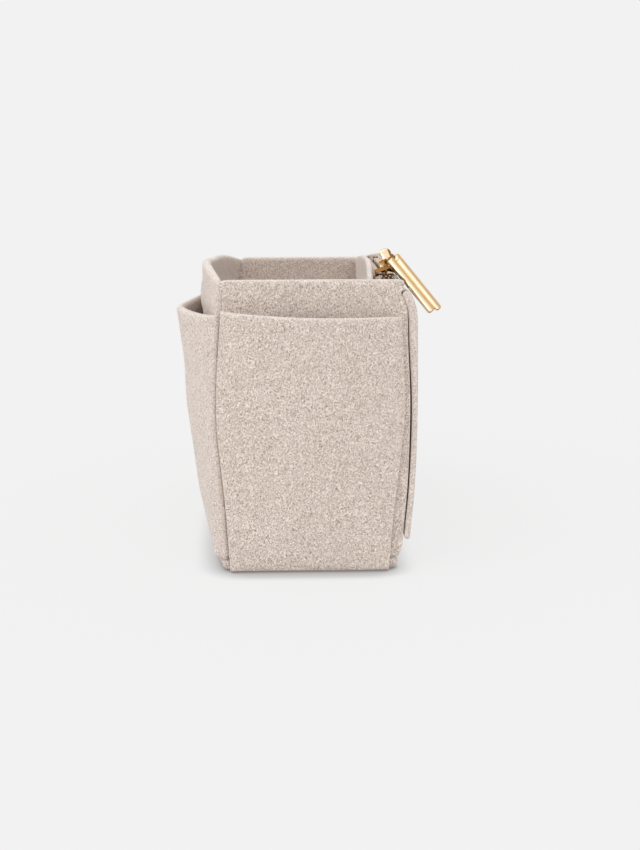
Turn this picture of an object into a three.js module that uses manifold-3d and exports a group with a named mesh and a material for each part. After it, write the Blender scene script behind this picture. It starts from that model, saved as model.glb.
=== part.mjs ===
// Felt purse organizer insert: an open tray with slip pockets outside and a zipped pocket on its right side.
// Millimetres, +Z up, long side along Y, near end at -Y. The origin is the centre of the base's underside.
import * as THREE from "three";
import { mergeVertices } from "three/addons/utils/BufferGeometryUtils.js";
import Module from "manifold-3d";

// Felt and the tray
const FELT = 2.2;
const GAP = 0.3;
const LENGTH = 170;
const END_WIDTH = 68;
const RIM_Z = 111;
const END_CORNER = 2;
const FAR_RIM_RAISE = 1.4;

// Base with a rolled edge
const BASE_THICK = 4.8;
const BASE_ROLL = 1.8;
const BASE_BOW = 5;
const BASE_CORNER = 7;
const BASE_CURVE_STEPS = 12;

// Left wall and its pocket in two lobes
const LEFT_TOP_BOW = 8.7;
const LEFT_BOW_POWER = 4;
const LEFT_CROWN = 3.8;
const LEFT_POCKET_TOP = 99.3;
const LEFT_POCKET_NEAR_GAPE = 7.9;
const LEFT_POCKET_FAR_GAPE = 5;
const LEFT_POCKET_RISE = 1.1;
const LEFT_POCKET_PEAK = 1.5;
const LEFT_POCKET_SHARE = 0.982;

// End pockets
const END_POCKET_FOOT = 0.5;
const END_POCKET_TOP = 97.7;
const END_POCKET_BELLY = 7;
const END_POCKET_RISE = 0.8;
const END_POCKET_LIFT = 2.4;
const END_POCKET_FOOT_HALF = 30.2;
const END_POCKET_FOOT_LEFT = 30.6;
const END_POCKET_KNEE_Z = 22;
const END_POCKET_KNEE_HALF = 31.8;
const END_POCKET_WAIST_Z = 62;
const END_POCKET_WAIST_HALF = 35.6;
const END_POCKET_WAIST_LEFT = 34.8;
const END_POCKET_TOP_HALF = 34.1;
const END_POCKET_TOP_LEFT = 32.6;

// Right wall, leaning in under the zip
const RIGHT_LEAN_FROM = 14;
const RIGHT_LEAN_TO = 104;
const RIGHT_CROWN = 6.5;
const RIGHT_CROWN_Y = -55;

// Outer panel of the zipped pocket and its end gussets
const PANEL_FOOT = 12;
const PANEL_CALF = 2.6;
const PANEL_CALF_AT = 0.23;
const PANEL_WAIST = 3.5;
const PANEL_WAIST_AT = 0.5;
const PANEL_CHEST = 3.8;
const PANEL_CHEST_AT = 0.8;
const PANEL_SHOULDER = 3.6;
const PANEL_SHOULDER_AT = 0.92;
const PANEL_MIDDLE_BELLY = 3;
const PANEL_BELOW_ZIP = 3.7;
const GUSSET_FOOT = 26;
const GUSSET_SLIT = 0.8;
const GUSSET_SLIT_TOP = 98;
const GUSSET_STEPS = 12;
const FAR_TAB_LEFT = 112.5;
const FAR_TAB_RIGHT = 115.5;

// Zip: place, direction and chain
const ZIP_X = 29.6;
const ZIP_Z = 111.5;
const ZIP_SKEW = THREE.MathUtils.degToRad(2.1);
const TOOTH_PITCH = 2.6;
const TOOTH_COUNT = 56;
const TOOTH_TIP = 1.0;
const TOOTH_REACH = 1.5;
const TOOTH_LENGTH = 1.5;
const TOOTH_HEAD = 0.4;
const TOOTH_HALF = 1.1;
const BEAD_WIDTH = 0.7;
const STOP_LENGTH = 1.3;
const STOP_HALF = 1.5;
const BOTTOM_STOP_HALF = 1.9;
const TAPE = 0.6;
const TAPE_DROP = 8;
const TAPE_FOLD = 0.45;

// Slider
const SLIDER_LENGTH = 13;
const PLATE = 1.1;
const FLANGE = 0.7;
const FLANGE_LENGTH = 9.6;
const TAPE_SLOT = 0.7;
const POST_HALF = 0.7;
const POST_LENGTH = 4.2;
const PLATE_CORNER = 1.4;
const PLATE_NOTCH = 0.9;

// Raised hook on the slider, and the pin that the pull swings on
const PIN_RISE = 9;
const HOOK_SHIFT = -0.6;
const PIN_RADIUS = 0.75;
const HOOK_WIDTH = 3.4;
const HOOK_THICK = 1.4;
const HOOK_FOOT = 2.2;
const HOOK_BACK = 4.4;
const HOOK_OVERHANG = 0.8;
const TONGUE_THICK = 1.0;
const TONGUE_ABOVE = 1.9;
const TONGUE_BELOW = 2.0;

// Pull: an eye and a bar of two round lobes
const PULL_CLEARANCE = 0.25;
const PULL_REST = THREE.MathUtils.degToRad(50.5);
const EYE_WALL = 0.8;
const EYE_THICK = 2.4;
const NECK_HALF = 1.7;
const BAR_START = 2.2;
const BAR_END = 27.6;
const BAR_LOBE = 1.35;
const BAR_LOBE_SPACING = 2.3;
const BAR_OFFSET = 1.45;
const BAR_ROUND = 0.7;
const BAR_LOBE_STEPS = 20;
const BAR_ROUND_STEPS = 3;

// Places that follow from the sizes above
const HALF_LENGTH = LENGTH / 2;
const HALF_WIDTH = END_WIDTH / 2;
const WALL_FOOT = BASE_THICK + GAP;
const WALL_RISE = RIM_Z - WALL_FOOT;
const END_INNER_Y = HALF_LENGTH - FELT;
const GUSSET_OUTER_Y = END_INNER_Y - GAP;
const GUSSET_INNER_Y = GUSSET_OUTER_Y - FELT;
const TAPE_END_Y = GUSSET_INNER_Y - GAP;
const TOOTH_ROOT = TOOTH_TIP + TOOTH_REACH + BEAD_WIDTH;
const CHANNEL_HALF = TOOTH_ROOT + GAP;
const SLIDER_HALF = CHANNEL_HALF + FLANGE;
const TAPE_REACH = SLIDER_HALF + GAP + TAPE;
const PLATE_UNDER = TOOTH_HALF + GAP;
const PLATE_TOP = PLATE_UNDER + PLATE;
const SLIDER_TAIL = SLIDER_LENGTH / 2;
const STOP_NEAR = SLIDER_TAIL + GAP + STOP_LENGTH;
const SLIDER_REST_Y = STOP_NEAR - TAPE_END_Y;
const ROW_LENGTH = TOOTH_PITCH * (TOOTH_COUNT + 0.5);
const PANEL_TOP = ZIP_Z - PANEL_BELOW_ZIP;
const EYE_HOLE = PIN_RADIUS + PULL_CLEARANCE;
const EYE_RADIUS = EYE_HOLE + EYE_WALL;
const HOOK_FRONT = SLIDER_TAIL + HOOK_OVERHANG;
const EYE_Y = -(HOOK_FRONT + GAP + EYE_THICK / 2);
const TONGUE_BACK = HOOK_FRONT + EYE_THICK + 2 * GAP;

const wasm = await Module();
wasm.setup();

const FELT_LOOK = { color: 0xd6cac0, roughness: 0.95, metalness: 0 };
const TAPE_LOOK = { color: 0xcfc2b4, roughness: 0.85, metalness: 0 };
const TEETH_LOOK = { color: 0xc9a264, roughness: 0.35, metalness: 1 };
const GOLD_LOOK = { color: 0xd6aa69, roughness: 0.22, metalness: 1 };

function named(name, geometry, look) {
  const mesh = new THREE.Mesh(geometry, new THREE.MeshStandardMaterial(look));
  mesh.name = name;
  return mesh;
}

// A smooth line through given points, as a function of their first coordinate.
function through(points) {
  const last = points.length - 1;
  const slope = (i) => {
    const a = points[Math.max(i - 1, 0)];
    const b = points[Math.min(i + 1, last)];
    return (b[1] - a[1]) / (b[0] - a[0]);
  };
  return (value) => {
    let i = 0;
    while (i < last - 1 && value > points[i + 1][0]) i += 1;
    const width = points[i + 1][0] - points[i][0];
    const t = THREE.MathUtils.clamp((value - points[i][0]) / width, 0, 1);
    const early = (1 - t) * (1 - t);
    const late = t * t;
    return early * (1 + 2 * t) * points[i][1] + early * t * width * slope(i)
      + late * (3 - 2 * t) * points[i + 1][1] - late * (1 - t) * width * slope(i + 1);
  };
}

// A felt panel. plan(s, z) is its middle line at height z for s from -1 to 1;
// the felt's thickness is laid square to that line, half on each side.
function panelGeometry({ plan, foot, top, along, up }) {
  const STEP = 1e-3;
  const columns = along + 1;
  const count = columns * (up + 1);
  const points = new Float32Array(2 * count * 3);
  for (let j = 0; j <= up; j += 1) {
    for (let i = 0; i <= along; i += 1) {
      const s = -1 + 2 * i / along;
      const z = foot + (top(s) - foot) * j / up;
      const here = plan(s, z);
      const run = plan(s + STEP, z).sub(plan(s - STEP, z)).normalize();
      const side = new THREE.Vector2(run.y, -run.x).multiplyScalar(FELT / 2);
      const at = j * columns + i;
      points.set([here.x + side.x, here.y + side.y, z], at * 3);
      points.set([here.x - side.x, here.y - side.y, z], (count + at) * 3);
    }
  }
  const index = [];
  const quad = (a, b, c, d) => index.push(a, b, c, a, c, d);
  for (let j = 0; j < up; j += 1) {
    for (let i = 0; i < along; i += 1) {
      const a = j * columns + i;
      const d = a + columns;
      quad(a, a + 1, d + 1, d);
      quad(count + a, count + d, count + d + 1, count + a + 1);
    }
  }
  const edge = [];
  for (let i = 0; i < along; i += 1) edge.push(i);
  for (let j = 0; j < up; j += 1) edge.push(j * columns + along);
  for (let i = along; i > 0; i -= 1) edge.push(up * columns + i);
  for (let j = up; j > 0; j -= 1) edge.push(j * columns);
  edge.forEach((p, k) => {
    const q = edge[(k + 1) % edge.length];
    quad(q, p, count + p, count + q);
  });
  const geometry = new THREE.BufferGeometry();
  geometry.setAttribute("position", new THREE.BufferAttribute(points, 3));
  geometry.setIndex(index);
  geometry.computeVertexNormals();
  return geometry;
}

// An outline in the XZ plane with a thickness along Y, centred on y = 0.
function uprightSlab(shape, thickness, curveSegments = 8) {
  const geometry = new THREE.ExtrudeGeometry(shape, { depth: thickness, bevelEnabled: false, curveSegments });
  geometry.rotateX(Math.PI / 2);
  geometry.translate(0, thickness / 2, 0);
  return geometry;
}

function polygon(points) {
  return new THREE.Shape(points.map(([x, y]) => new THREE.Vector2(x, y)));
}

function solid(geometry) {
  const bare = geometry.clone();
  bare.deleteAttribute("normal");
  bare.deleteAttribute("uv");
  const merged = mergeVertices(bare, 1e-4);
  return new wasm.Manifold(new wasm.Mesh({
    numProp: 3,
    vertProperties: new Float32Array(merged.attributes.position.array),
    triVerts: new Uint32Array(merged.index.array),
  }));
}

function joined(geometries) {
  const whole = geometries.map(solid).reduce((a, b) => a.add(b));
  const mesh = whole.getMesh();
  const geometry = new THREE.BufferGeometry();
  geometry.setAttribute("position", new THREE.BufferAttribute(new Float32Array(mesh.vertProperties), 3));
  geometry.setIndex(new THREE.BufferAttribute(new Uint32Array(mesh.triVerts), 1));
  geometry.computeVertexNormals();
  return geometry;
}

// Height above the walls' foot as a share of the rim height
const risen = (z) => (z - WALL_FOOT) / WALL_RISE;

// Middle of the zip over the length of the tray
const zipX = (y) => ZIP_X + (y - SLIDER_REST_Y) * Math.tan(ZIP_SKEW);

const leftMiddle = (y, z) => {
  const bow = BASE_BOW + (LEFT_TOP_BOW - BASE_BOW) * risen(z);
  return -HALF_WIDTH + FELT / 2 - bow * (1 - Math.abs(y / HALF_LENGTH) ** LEFT_BOW_POWER);
};

const rightMiddle = (y, z) => {
  const foot = HALF_WIDTH - FELT / 2;
  const top = zipX(y) - TAPE_REACH - GAP - FELT / 2;
  return THREE.MathUtils.lerp(foot, top, THREE.MathUtils.smoothstep(z, RIGHT_LEAN_FROM, RIGHT_LEAN_TO));
};

// How far the outer panel stands off the straight line from its foot to the zip, by share of its height
const panelBelly = through([
  [0, 0],
  [PANEL_CALF_AT, PANEL_CALF],
  [PANEL_WAIST_AT, PANEL_WAIST],
  [PANEL_CHEST_AT, PANEL_CHEST],
  [PANEL_SHOULDER_AT, PANEL_SHOULDER],
  [1, 0],
]);

const panelInner = (y, z) => {
  const rise = (z - PANEL_FOOT) / (PANEL_TOP - PANEL_FOOT);
  const foot = HALF_WIDTH + GAP;
  const top = zipX(y) + TAPE_REACH + GAP;
  const middle = PANEL_MIDDLE_BELLY * (1 - (y / HALF_LENGTH) ** 2) * Math.sin(Math.PI * rise);
  return THREE.MathUtils.lerp(foot, top, rise) + panelBelly(rise) + middle;
};

// Base: a rounded outline with a bowed left side; its rolled edge leaves the underside flat.
function basePanel() {
  const outline = new THREE.Shape();
  const straight = HALF_LENGTH - BASE_CORNER;
  outline.moveTo(HALF_WIDTH, -straight);
  outline.lineTo(HALF_WIDTH, straight);
  outline.quadraticCurveTo(HALF_WIDTH, HALF_LENGTH, HALF_WIDTH - BASE_CORNER, HALF_LENGTH);
  outline.lineTo(BASE_CORNER - HALF_WIDTH, HALF_LENGTH);
  const leftX = (y) => -HALF_WIDTH - BASE_BOW * (1 - Math.abs(y / straight) ** LEFT_BOW_POWER);
  outline.quadraticCurveTo(-HALF_WIDTH, HALF_LENGTH, leftX(straight), straight);
  for (let k = 1; k <= BASE_CURVE_STEPS; k += 1) {
    const y = straight * (1 - 2 * k / BASE_CURVE_STEPS);
    outline.lineTo(leftX(y), y);
  }
  outline.quadraticCurveTo(-HALF_WIDTH, -HALF_LENGTH, BASE_CORNER - HALF_WIDTH, -HALF_LENGTH);
  outline.lineTo(HALF_WIDTH - BASE_CORNER, -HALF_LENGTH);
  outline.quadraticCurveTo(HALF_WIDTH, -HALF_LENGTH, HALF_WIDTH, -straight);
  const geometry = new THREE.ExtrudeGeometry(outline, {
    depth: BASE_THICK - 2 * BASE_ROLL,
    bevelEnabled: true,
    bevelThickness: BASE_ROLL,
    bevelSize: BASE_ROLL,
    bevelOffset: -BASE_ROLL,
    bevelSegments: 3,
    curveSegments: 4,
  });
  geometry.translate(0, 0, BASE_ROLL);
  return geometry;
}

function leftWall() {
  return panelGeometry({
    plan: (s, z) => new THREE.Vector2(leftMiddle(s * HALF_LENGTH, z), s * HALF_LENGTH),
    foot: WALL_FOOT,
    top: (s) => RIM_Z + LEFT_CROWN * (1 - Math.abs(s) ** LEFT_BOW_POWER),
    along: 20,
    up: 6,
  });
}

// Sewn down at both ends, along its foot and at mid-length, and gaping in between.
function leftPocket() {
  const share = HALF_LENGTH * LEFT_POCKET_SHARE;
  const gape = (s, z) => {
    const rise = Math.max(z - WALL_FOOT, 0) / (LEFT_POCKET_TOP - WALL_FOOT);
    const depth = s < 0 ? LEFT_POCKET_NEAR_GAPE : LEFT_POCKET_FAR_GAPE;
    return depth * Math.sin(Math.PI * Math.abs(s) ** LEFT_POCKET_PEAK) * rise ** LEFT_POCKET_RISE;
  };
  return panelGeometry({
    plan: (s, z) => {
      const y = s * share;
      const slope = (leftMiddle(y + GAP, z) - leftMiddle(y - GAP, z)) / (2 * GAP);
      const off = FELT + GAP + gape(s, z);
      const flat = off / Math.hypot(1, slope);
      return new THREE.Vector2(leftMiddle(y, z) - flat, y + flat * slope);
    },
    foot: WALL_FOOT,
    top: () => LEFT_POCKET_TOP,
    along: 32,
    up: 6,
  });
}

// Share of the right rim's crown, highest towards the near end
const rightCrown = (y) => {
  const reach = y < RIGHT_CROWN_Y ? RIGHT_CROWN_Y + HALF_LENGTH : HALF_LENGTH - RIGHT_CROWN_Y;
  return 1 - ((y - RIGHT_CROWN_Y) / reach) ** 2;
};

function rightWall() {
  return panelGeometry({
    plan: (s, z) => new THREE.Vector2(rightMiddle(s * GUSSET_OUTER_Y, z), s * GUSSET_OUTER_Y),
    foot: WALL_FOOT,
    top: (s) => RIM_Z + RIGHT_CROWN * rightCrown(s * GUSSET_OUTER_Y),
    along: 16,
    up: 12,
  });
}

function zipPocketPanel() {
  return panelGeometry({
    plan: (s, z) => new THREE.Vector2(panelInner(s * HALF_LENGTH, z) + FELT / 2, s * HALF_LENGTH),
    foot: PANEL_FOOT,
    top: () => PANEL_TOP,
    along: 14,
    up: 14,
  });
}

function endWall(rim) {
  const left = FELT + GAP - HALF_WIDTH;
  const right = HALF_WIDTH;
  const outline = new THREE.Shape();
  outline.moveTo(left, WALL_FOOT);
  outline.lineTo(right, WALL_FOOT);
  outline.lineTo(right, rim - END_CORNER);
  outline.quadraticCurveTo(right, rim, right - END_CORNER, rim);
  outline.lineTo(left + END_CORNER, rim);
  outline.quadraticCurveTo(left, rim, left, rim - END_CORNER);
  return uprightSlab(outline, FELT);
}

// facing is -1 for the near end and 1 for the far end; the rim lifts a little at the left corner.
function endPocket(facing) {
  const rightHalf = through([
    [END_POCKET_FOOT, END_POCKET_FOOT_HALF],
    [END_POCKET_KNEE_Z, END_POCKET_KNEE_HALF],
    [END_POCKET_WAIST_Z, END_POCKET_WAIST_HALF],
    [END_POCKET_TOP, END_POCKET_TOP_HALF],
  ]);
  const leftHalf = through([
    [END_POCKET_FOOT, END_POCKET_FOOT_LEFT],
    [END_POCKET_KNEE_Z, END_POCKET_KNEE_HALF],
    [END_POCKET_WAIST_Z, END_POCKET_WAIST_LEFT],
    [END_POCKET_TOP, END_POCKET_TOP_LEFT],
  ]);
  return panelGeometry({
    plan: (s, z) => {
      const rise = Math.max(z - END_POCKET_FOOT, 0) / (END_POCKET_TOP - END_POCKET_FOOT);
      const belly = END_POCKET_BELLY * (1 - s * s) * rise ** END_POCKET_RISE;
      const x = THREE.MathUtils.lerp(-leftHalf(z), rightHalf(z), (s + 1) / 2);
      return new THREE.Vector2(x, facing * (HALF_LENGTH + GAP + FELT / 2 + belly));
    },
    foot: END_POCKET_FOOT,
    top: (s) => END_POCKET_TOP + END_POCKET_LIFT * ((1 - s) / 2) ** 3,
    along: 14,
    up: 8,
  });
}

// Closes the end of the zipped pocket between the leaning wall and the outer panel;
// tab is the outline that rises above the panel's top, from the panel's side to the wall's side.
function gusset(y, tab) {
  const wallSide = [];
  const panelSide = [];
  for (let k = 0; k <= GUSSET_STEPS; k += 1) {
    const z = GUSSET_FOOT + (PANEL_TOP - GUSSET_FOOT) * k / GUSSET_STEPS;
    wallSide.push([rightMiddle(y, z) + FELT / 2 + GAP, z]);
    const closed = THREE.MathUtils.smoothstep(z, GUSSET_FOOT, GUSSET_SLIT_TOP);
    const slit = THREE.MathUtils.lerp(GUSSET_SLIT, GAP, closed);
    panelSide.push([panelInner(y, z) - slit, z]);
  }
  return uprightSlab(polygon([...panelSide, ...tab, ...wallSide.reverse()]), FELT);
}

// Felt tab that covers the far end of the zip
function farTab(y) {
  return [
    [panelInner(y, PANEL_TOP) - GAP, FAR_TAB_RIGHT],
    [rightMiddle(y, PANEL_TOP) + FELT / 2 + GAP, FAR_TAB_LEFT],
  ];
}

// One row of teeth on its bead, as a comb; side is -1 for the inner row and 1 for the outer one,
// and the rows are set half a pitch apart so that they can mesh.
function teethRow(side) {
  const comb = [[side * TOOTH_ROOT, 0], [side * TOOTH_ROOT, ROW_LENGTH]];
  const bead = TOOTH_ROOT - BEAD_WIDTH;
  comb.push([side * bead, ROW_LENGTH]);
  const first = side < 0 ? 0 : TOOTH_PITCH / 2;
  for (let k = TOOTH_COUNT - 1; k >= 0; k -= 1) {
    const start = first + k * TOOTH_PITCH + (TOOTH_PITCH - TOOTH_LENGTH) / 2;
    const end = start + TOOTH_LENGTH;
    comb.push([side * bead, end]);
    comb.push([side * (TOOTH_TIP + TOOTH_HEAD), end]);
    comb.push([side * TOOTH_TIP, end - TOOTH_HEAD]);
    comb.push([side * TOOTH_TIP, start + TOOTH_HEAD]);
    comb.push([side * (TOOTH_TIP + TOOTH_HEAD), start]);
    comb.push([side * bead, start]);
  }
  comb.push([side * bead, 0]);
  const geometry = new THREE.ExtrudeGeometry(polygon(comb), { depth: 2 * TOOTH_HALF, bevelEnabled: false });
  geometry.translate(0, -SLIDER_TAIL, -TOOTH_HALF);
  return geometry;
}

// Tape: level beside the teeth, then folded down against the felt that it is sewn to.
function zipTape(side, length) {
  const top = TAPE / 2;
  const shape = polygon([
    [side * CHANNEL_HALF, -top],
    [side * CHANNEL_HALF, top],
    [side * (TAPE_REACH - TAPE_FOLD), top],
    [side * TAPE_REACH, top - TAPE_FOLD],
    [side * TAPE_REACH, -TAPE_DROP],
    [side * (TAPE_REACH - TAPE), -TAPE_DROP],
    [side * (TAPE_REACH - TAPE), -top],
  ]);
  const geometry = uprightSlab(shape, length);
  geometry.translate(0, length / 2 - STOP_NEAR, 0);
  return geometry;
}

// Clamped on the end of the rows, and taller than the slider's channel.
function stopClamp(left, right) {
  const clamp = new THREE.BoxGeometry(right - left, STOP_LENGTH, 2 * STOP_HALF);
  clamp.translate((left + right) / 2, 0, 0);
  return clamp;
}

// Slider: two plates with turned flanges, a post that parts the rows, and a hook that overhangs the tail.
function zipSlider() {
  const notch = SLIDER_TAIL - PLATE_NOTCH;
  const outline = polygon([
    [-SLIDER_HALF, PLATE_CORNER - SLIDER_TAIL],
    [PLATE_CORNER - SLIDER_HALF, -SLIDER_TAIL],
    [SLIDER_HALF - PLATE_CORNER, -SLIDER_TAIL],
    [SLIDER_HALF, PLATE_CORNER - SLIDER_TAIL],
    [SLIDER_HALF, SLIDER_TAIL - PLATE_CORNER],
    [SLIDER_HALF - PLATE_CORNER, SLIDER_TAIL],
    [0, notch],
    [PLATE_CORNER - SLIDER_HALF, SLIDER_TAIL],
    [-SLIDER_HALF, SLIDER_TAIL - PLATE_CORNER],
  ]);
  const plate = new THREE.ExtrudeGeometry(outline, { depth: PLATE, bevelEnabled: false });
  const parts = [plate.clone().translate(0, 0, PLATE_UNDER), plate.clone().translate(0, 0, -PLATE_TOP)];
  const turned = (PLATE_TOP + PLATE_UNDER) / 2 - TAPE_SLOT;
  [-1, 1].forEach((side) => [-1, 1].forEach((level) => {
    const flange = new THREE.BoxGeometry(FLANGE, FLANGE_LENGTH, turned);
    flange.translate(side * (CHANNEL_HALF + FLANGE / 2), 0, level * (TAPE_SLOT + turned / 2));
    parts.push(flange);
  }));
  const post = polygon([
    [0, notch - POST_LENGTH],
    [POST_HALF, notch - POST_LENGTH + 2 * POST_HALF],
    [POST_HALF, notch - POST_HALF],
    [-POST_HALF, notch - POST_HALF],
    [-POST_HALF, notch - POST_LENGTH + 2 * POST_HALF],
  ]);
  const postHeight = PLATE_TOP + PLATE_UNDER;
  const postSolid = new THREE.ExtrudeGeometry(post, { depth: postHeight, bevelEnabled: false });
  parts.push(postSolid.translate(0, 0, -postHeight / 2));
  [hookStrap(), hookPin(), hookTongue()].forEach((part) => parts.push(part.translate(HOOK_SHIFT, 0, 0)));
  return joined(parts);
}

// The hook's strap: up from the top plate and forward over the slider's tail.
function hookStrap() {
  const over = PIN_RISE + HOOK_THICK / 2;
  const under = PIN_RISE - HOOK_THICK / 2;
  const sunk = PLATE_TOP - PLATE / 2;
  const bend = 2 * HOOK_FOOT;
  const strap = new THREE.Shape();
  strap.moveTo(HOOK_BACK, sunk);
  strap.lineTo(HOOK_BACK, over - bend);
  strap.quadraticCurveTo(HOOK_BACK, over, HOOK_BACK - bend, over);
  strap.lineTo(-HOOK_FRONT, over);
  strap.lineTo(-HOOK_FRONT, under);
  strap.lineTo(HOOK_BACK - bend, under);
  strap.quadraticCurveTo(HOOK_BACK - HOOK_FOOT, under, HOOK_BACK - HOOK_FOOT, over - bend);
  strap.lineTo(HOOK_BACK - HOOK_FOOT, sunk);
  const geometry = uprightSlab(strap, HOOK_WIDTH);
  geometry.rotateZ(Math.PI / 2);
  return geometry;
}

function hookPin() {
  const length = TONGUE_BACK - HOOK_FRONT + TONGUE_THICK;
  const pin = new THREE.CylinderGeometry(PIN_RADIUS, PIN_RADIUS, length, 16);
  return pin.translate(0, EYE_Y, PIN_RISE);
}

// The down-turned front of the hook, which keeps the eye on the pin.
function hookTongue() {
  const half = HOOK_WIDTH / 2;
  const tongue = new THREE.Shape();
  tongue.moveTo(-half, -TONGUE_BELOW);
  tongue.lineTo(half, -TONGUE_BELOW);
  tongue.lineTo(half, 0);
  tongue.quadraticCurveTo(half, TONGUE_ABOVE, 0, TONGUE_ABOVE);
  tongue.quadraticCurveTo(-half, TONGUE_ABOVE, -half, 0);
  return uprightSlab(tongue, TONGUE_THICK).translate(0, -TONGUE_BACK - TONGUE_THICK / 2, PIN_RISE);
}

// One of the bar's two round lobes, with rounded ends.
function barLobe(side) {
  const profile = [new THREE.Vector2(0, BAR_START)];
  for (let k = 0; k <= BAR_ROUND_STEPS; k += 1) {
    const turn = Math.PI / 2 * k / BAR_ROUND_STEPS;
    const radius = BAR_LOBE - BAR_ROUND * (1 - Math.sin(turn));
    profile.push(new THREE.Vector2(radius, BAR_START + BAR_ROUND * (1 - Math.cos(turn))));
  }
  const mirrored = profile.map((point) => new THREE.Vector2(point.x, BAR_START + BAR_END - point.y));
  const lobe = new THREE.LatheGeometry([...profile, ...mirrored.reverse()], BAR_LOBE_STEPS);
  lobe.rotateZ(-Math.PI / 2);
  return lobe.translate(0, 0, BAR_OFFSET + side * BAR_LOBE_SPACING / 2);
}

// Pull, drawn along +X from the centre of its eye.
function zipPull() {
  const ring = new THREE.Shape();
  ring.absarc(0, 0, EYE_RADIUS, 0, 2 * Math.PI, false);
  const hole = new THREE.Path();
  hole.absarc(0, 0, EYE_HOLE, 0, 2 * Math.PI, true);
  ring.holes.push(hole);
  const eye = uprightSlab(ring, EYE_THICK, 12);

  const neckStart = (EYE_HOLE + EYE_RADIUS) / 2;
  const neckEnd = BAR_START + BAR_LOBE;
  const neck = new THREE.BoxGeometry(neckEnd - neckStart, EYE_THICK, 2 * NECK_HALF);
  neck.translate((neckStart + neckEnd) / 2, 0, BAR_OFFSET);

  return joined([eye, neck, barLobe(-1), barLobe(1)]);
}

const insert = new THREE.Group();
insert.name = "purse_organizer_insert";

insert.add(named("base_panel", basePanel(), FELT_LOOK));
insert.add(named("left_wall", leftWall(), FELT_LOOK));
insert.add(named("left_pocket", leftPocket(), FELT_LOOK));
insert.add(named("right_wall", rightWall(), FELT_LOOK));
insert.add(named("zip_pocket_panel", zipPocketPanel(), FELT_LOOK));

[["near", -1], ["far", 1]].forEach(([end, facing]) => {
  const rim = facing < 0 ? RIM_Z : RIM_Z + FAR_RIM_RAISE;
  const wall = named(`${end}_end_wall`, endWall(rim), FELT_LOOK);
  wall.position.y = facing * (HALF_LENGTH - FELT / 2);
  const gussetY = facing * (GUSSET_OUTER_Y - FELT / 2);
  const tab = facing < 0 ? [] : farTab(gussetY);
  const closing = named(`${end}_gusset`, gusset(gussetY, tab), FELT_LOOK);
  closing.position.y = gussetY;
  insert.add(wall, closing, named(`${end}_end_pocket`, endPocket(facing), FELT_LOOK));
});

const zip = new THREE.Group();
zip.name = "zip";
zip.position.set(ZIP_X, SLIDER_REST_Y, ZIP_Z);
zip.rotation.z = -ZIP_SKEW;
insert.add(zip);

const tapeLength = (TAPE_END_Y - SLIDER_REST_Y) + STOP_NEAR;
[["inner", -1], ["outer", 1]].forEach(([place, side]) => {
  zip.add(named(`zip_tape_${place}`, zipTape(side, tapeLength), TAPE_LOOK));
  zip.add(named(`zip_teeth_${place}`, teethRow(side), TEETH_LOOK));
  const near = Math.min(side * TOOTH_TIP, side * TOOTH_ROOT);
  const far = Math.max(side * TOOTH_TIP, side * TOOTH_ROOT);
  const topStop = named(`top_stop_${place}`, stopClamp(near, far), GOLD_LOOK);
  topStop.position.y = ROW_LENGTH - SLIDER_TAIL + GAP + STOP_LENGTH / 2;
  zip.add(topStop);
});
const bottomStop = named("bottom_stop", stopClamp(-BOTTOM_STOP_HALF, BOTTOM_STOP_HALF), GOLD_LOOK);
bottomStop.position.y = -(SLIDER_TAIL + GAP + STOP_LENGTH / 2);
zip.add(bottomStop);

zip.add(named("zip_slider", zipSlider(), GOLD_LOOK));
const pull = named("zip_pull", zipPull(), GOLD_LOOK);
pull.position.set(HOOK_SHIFT, EYE_Y, PIN_RISE);
pull.rotation.y = PULL_REST;
zip.add(pull);

export default insert;
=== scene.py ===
# %% [markdown]
# # A felt purse organizer insert
# The insert is an open felt tray with slip pockets outside and a zipped pocket on its right side.
# The packed solids give the places and the motion. This lesson makes what is seen: felt that bows
# and gapes, a woven zip tape, metal teeth, a slider and its pull.

import math

import bpy
import numpy as np
from mathutils import Matrix, Vector


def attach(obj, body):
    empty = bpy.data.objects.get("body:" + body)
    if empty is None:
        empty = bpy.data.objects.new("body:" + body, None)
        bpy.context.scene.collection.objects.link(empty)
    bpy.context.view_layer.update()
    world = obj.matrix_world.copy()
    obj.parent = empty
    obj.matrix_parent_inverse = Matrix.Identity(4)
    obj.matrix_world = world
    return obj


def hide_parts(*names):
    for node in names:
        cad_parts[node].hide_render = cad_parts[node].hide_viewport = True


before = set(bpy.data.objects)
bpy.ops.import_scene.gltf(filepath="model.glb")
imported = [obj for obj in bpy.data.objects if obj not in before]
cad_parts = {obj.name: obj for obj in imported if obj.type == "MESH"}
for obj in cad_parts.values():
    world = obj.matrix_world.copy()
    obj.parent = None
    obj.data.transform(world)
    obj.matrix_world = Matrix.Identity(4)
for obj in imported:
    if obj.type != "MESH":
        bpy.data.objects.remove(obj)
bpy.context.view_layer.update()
bpy.ops.object.select_all(action="DESELECT")

# %% [markdown]
# ## The camera
# The photograph looks at the narrow end from a little above and slightly left. A camera could be aimed at a
# target by a constraint, but that leaves no say over its roll. Here its place and its three angles are set
# outright. They were found by laying the tray's corners, rims and the tip of the pull over the picture.

# %% Camera
FRAME_HEIGHT = 850
FOCAL_PIXELS = 1150
SENSOR = 36.0
NEAR_CLIP = 0.01
CAMERA_PLACE = Vector((-0.0096, -0.5095, 0.1379))
YAW, TILT, ROLL = 0.0318, 0.1884, -0.0034

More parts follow.
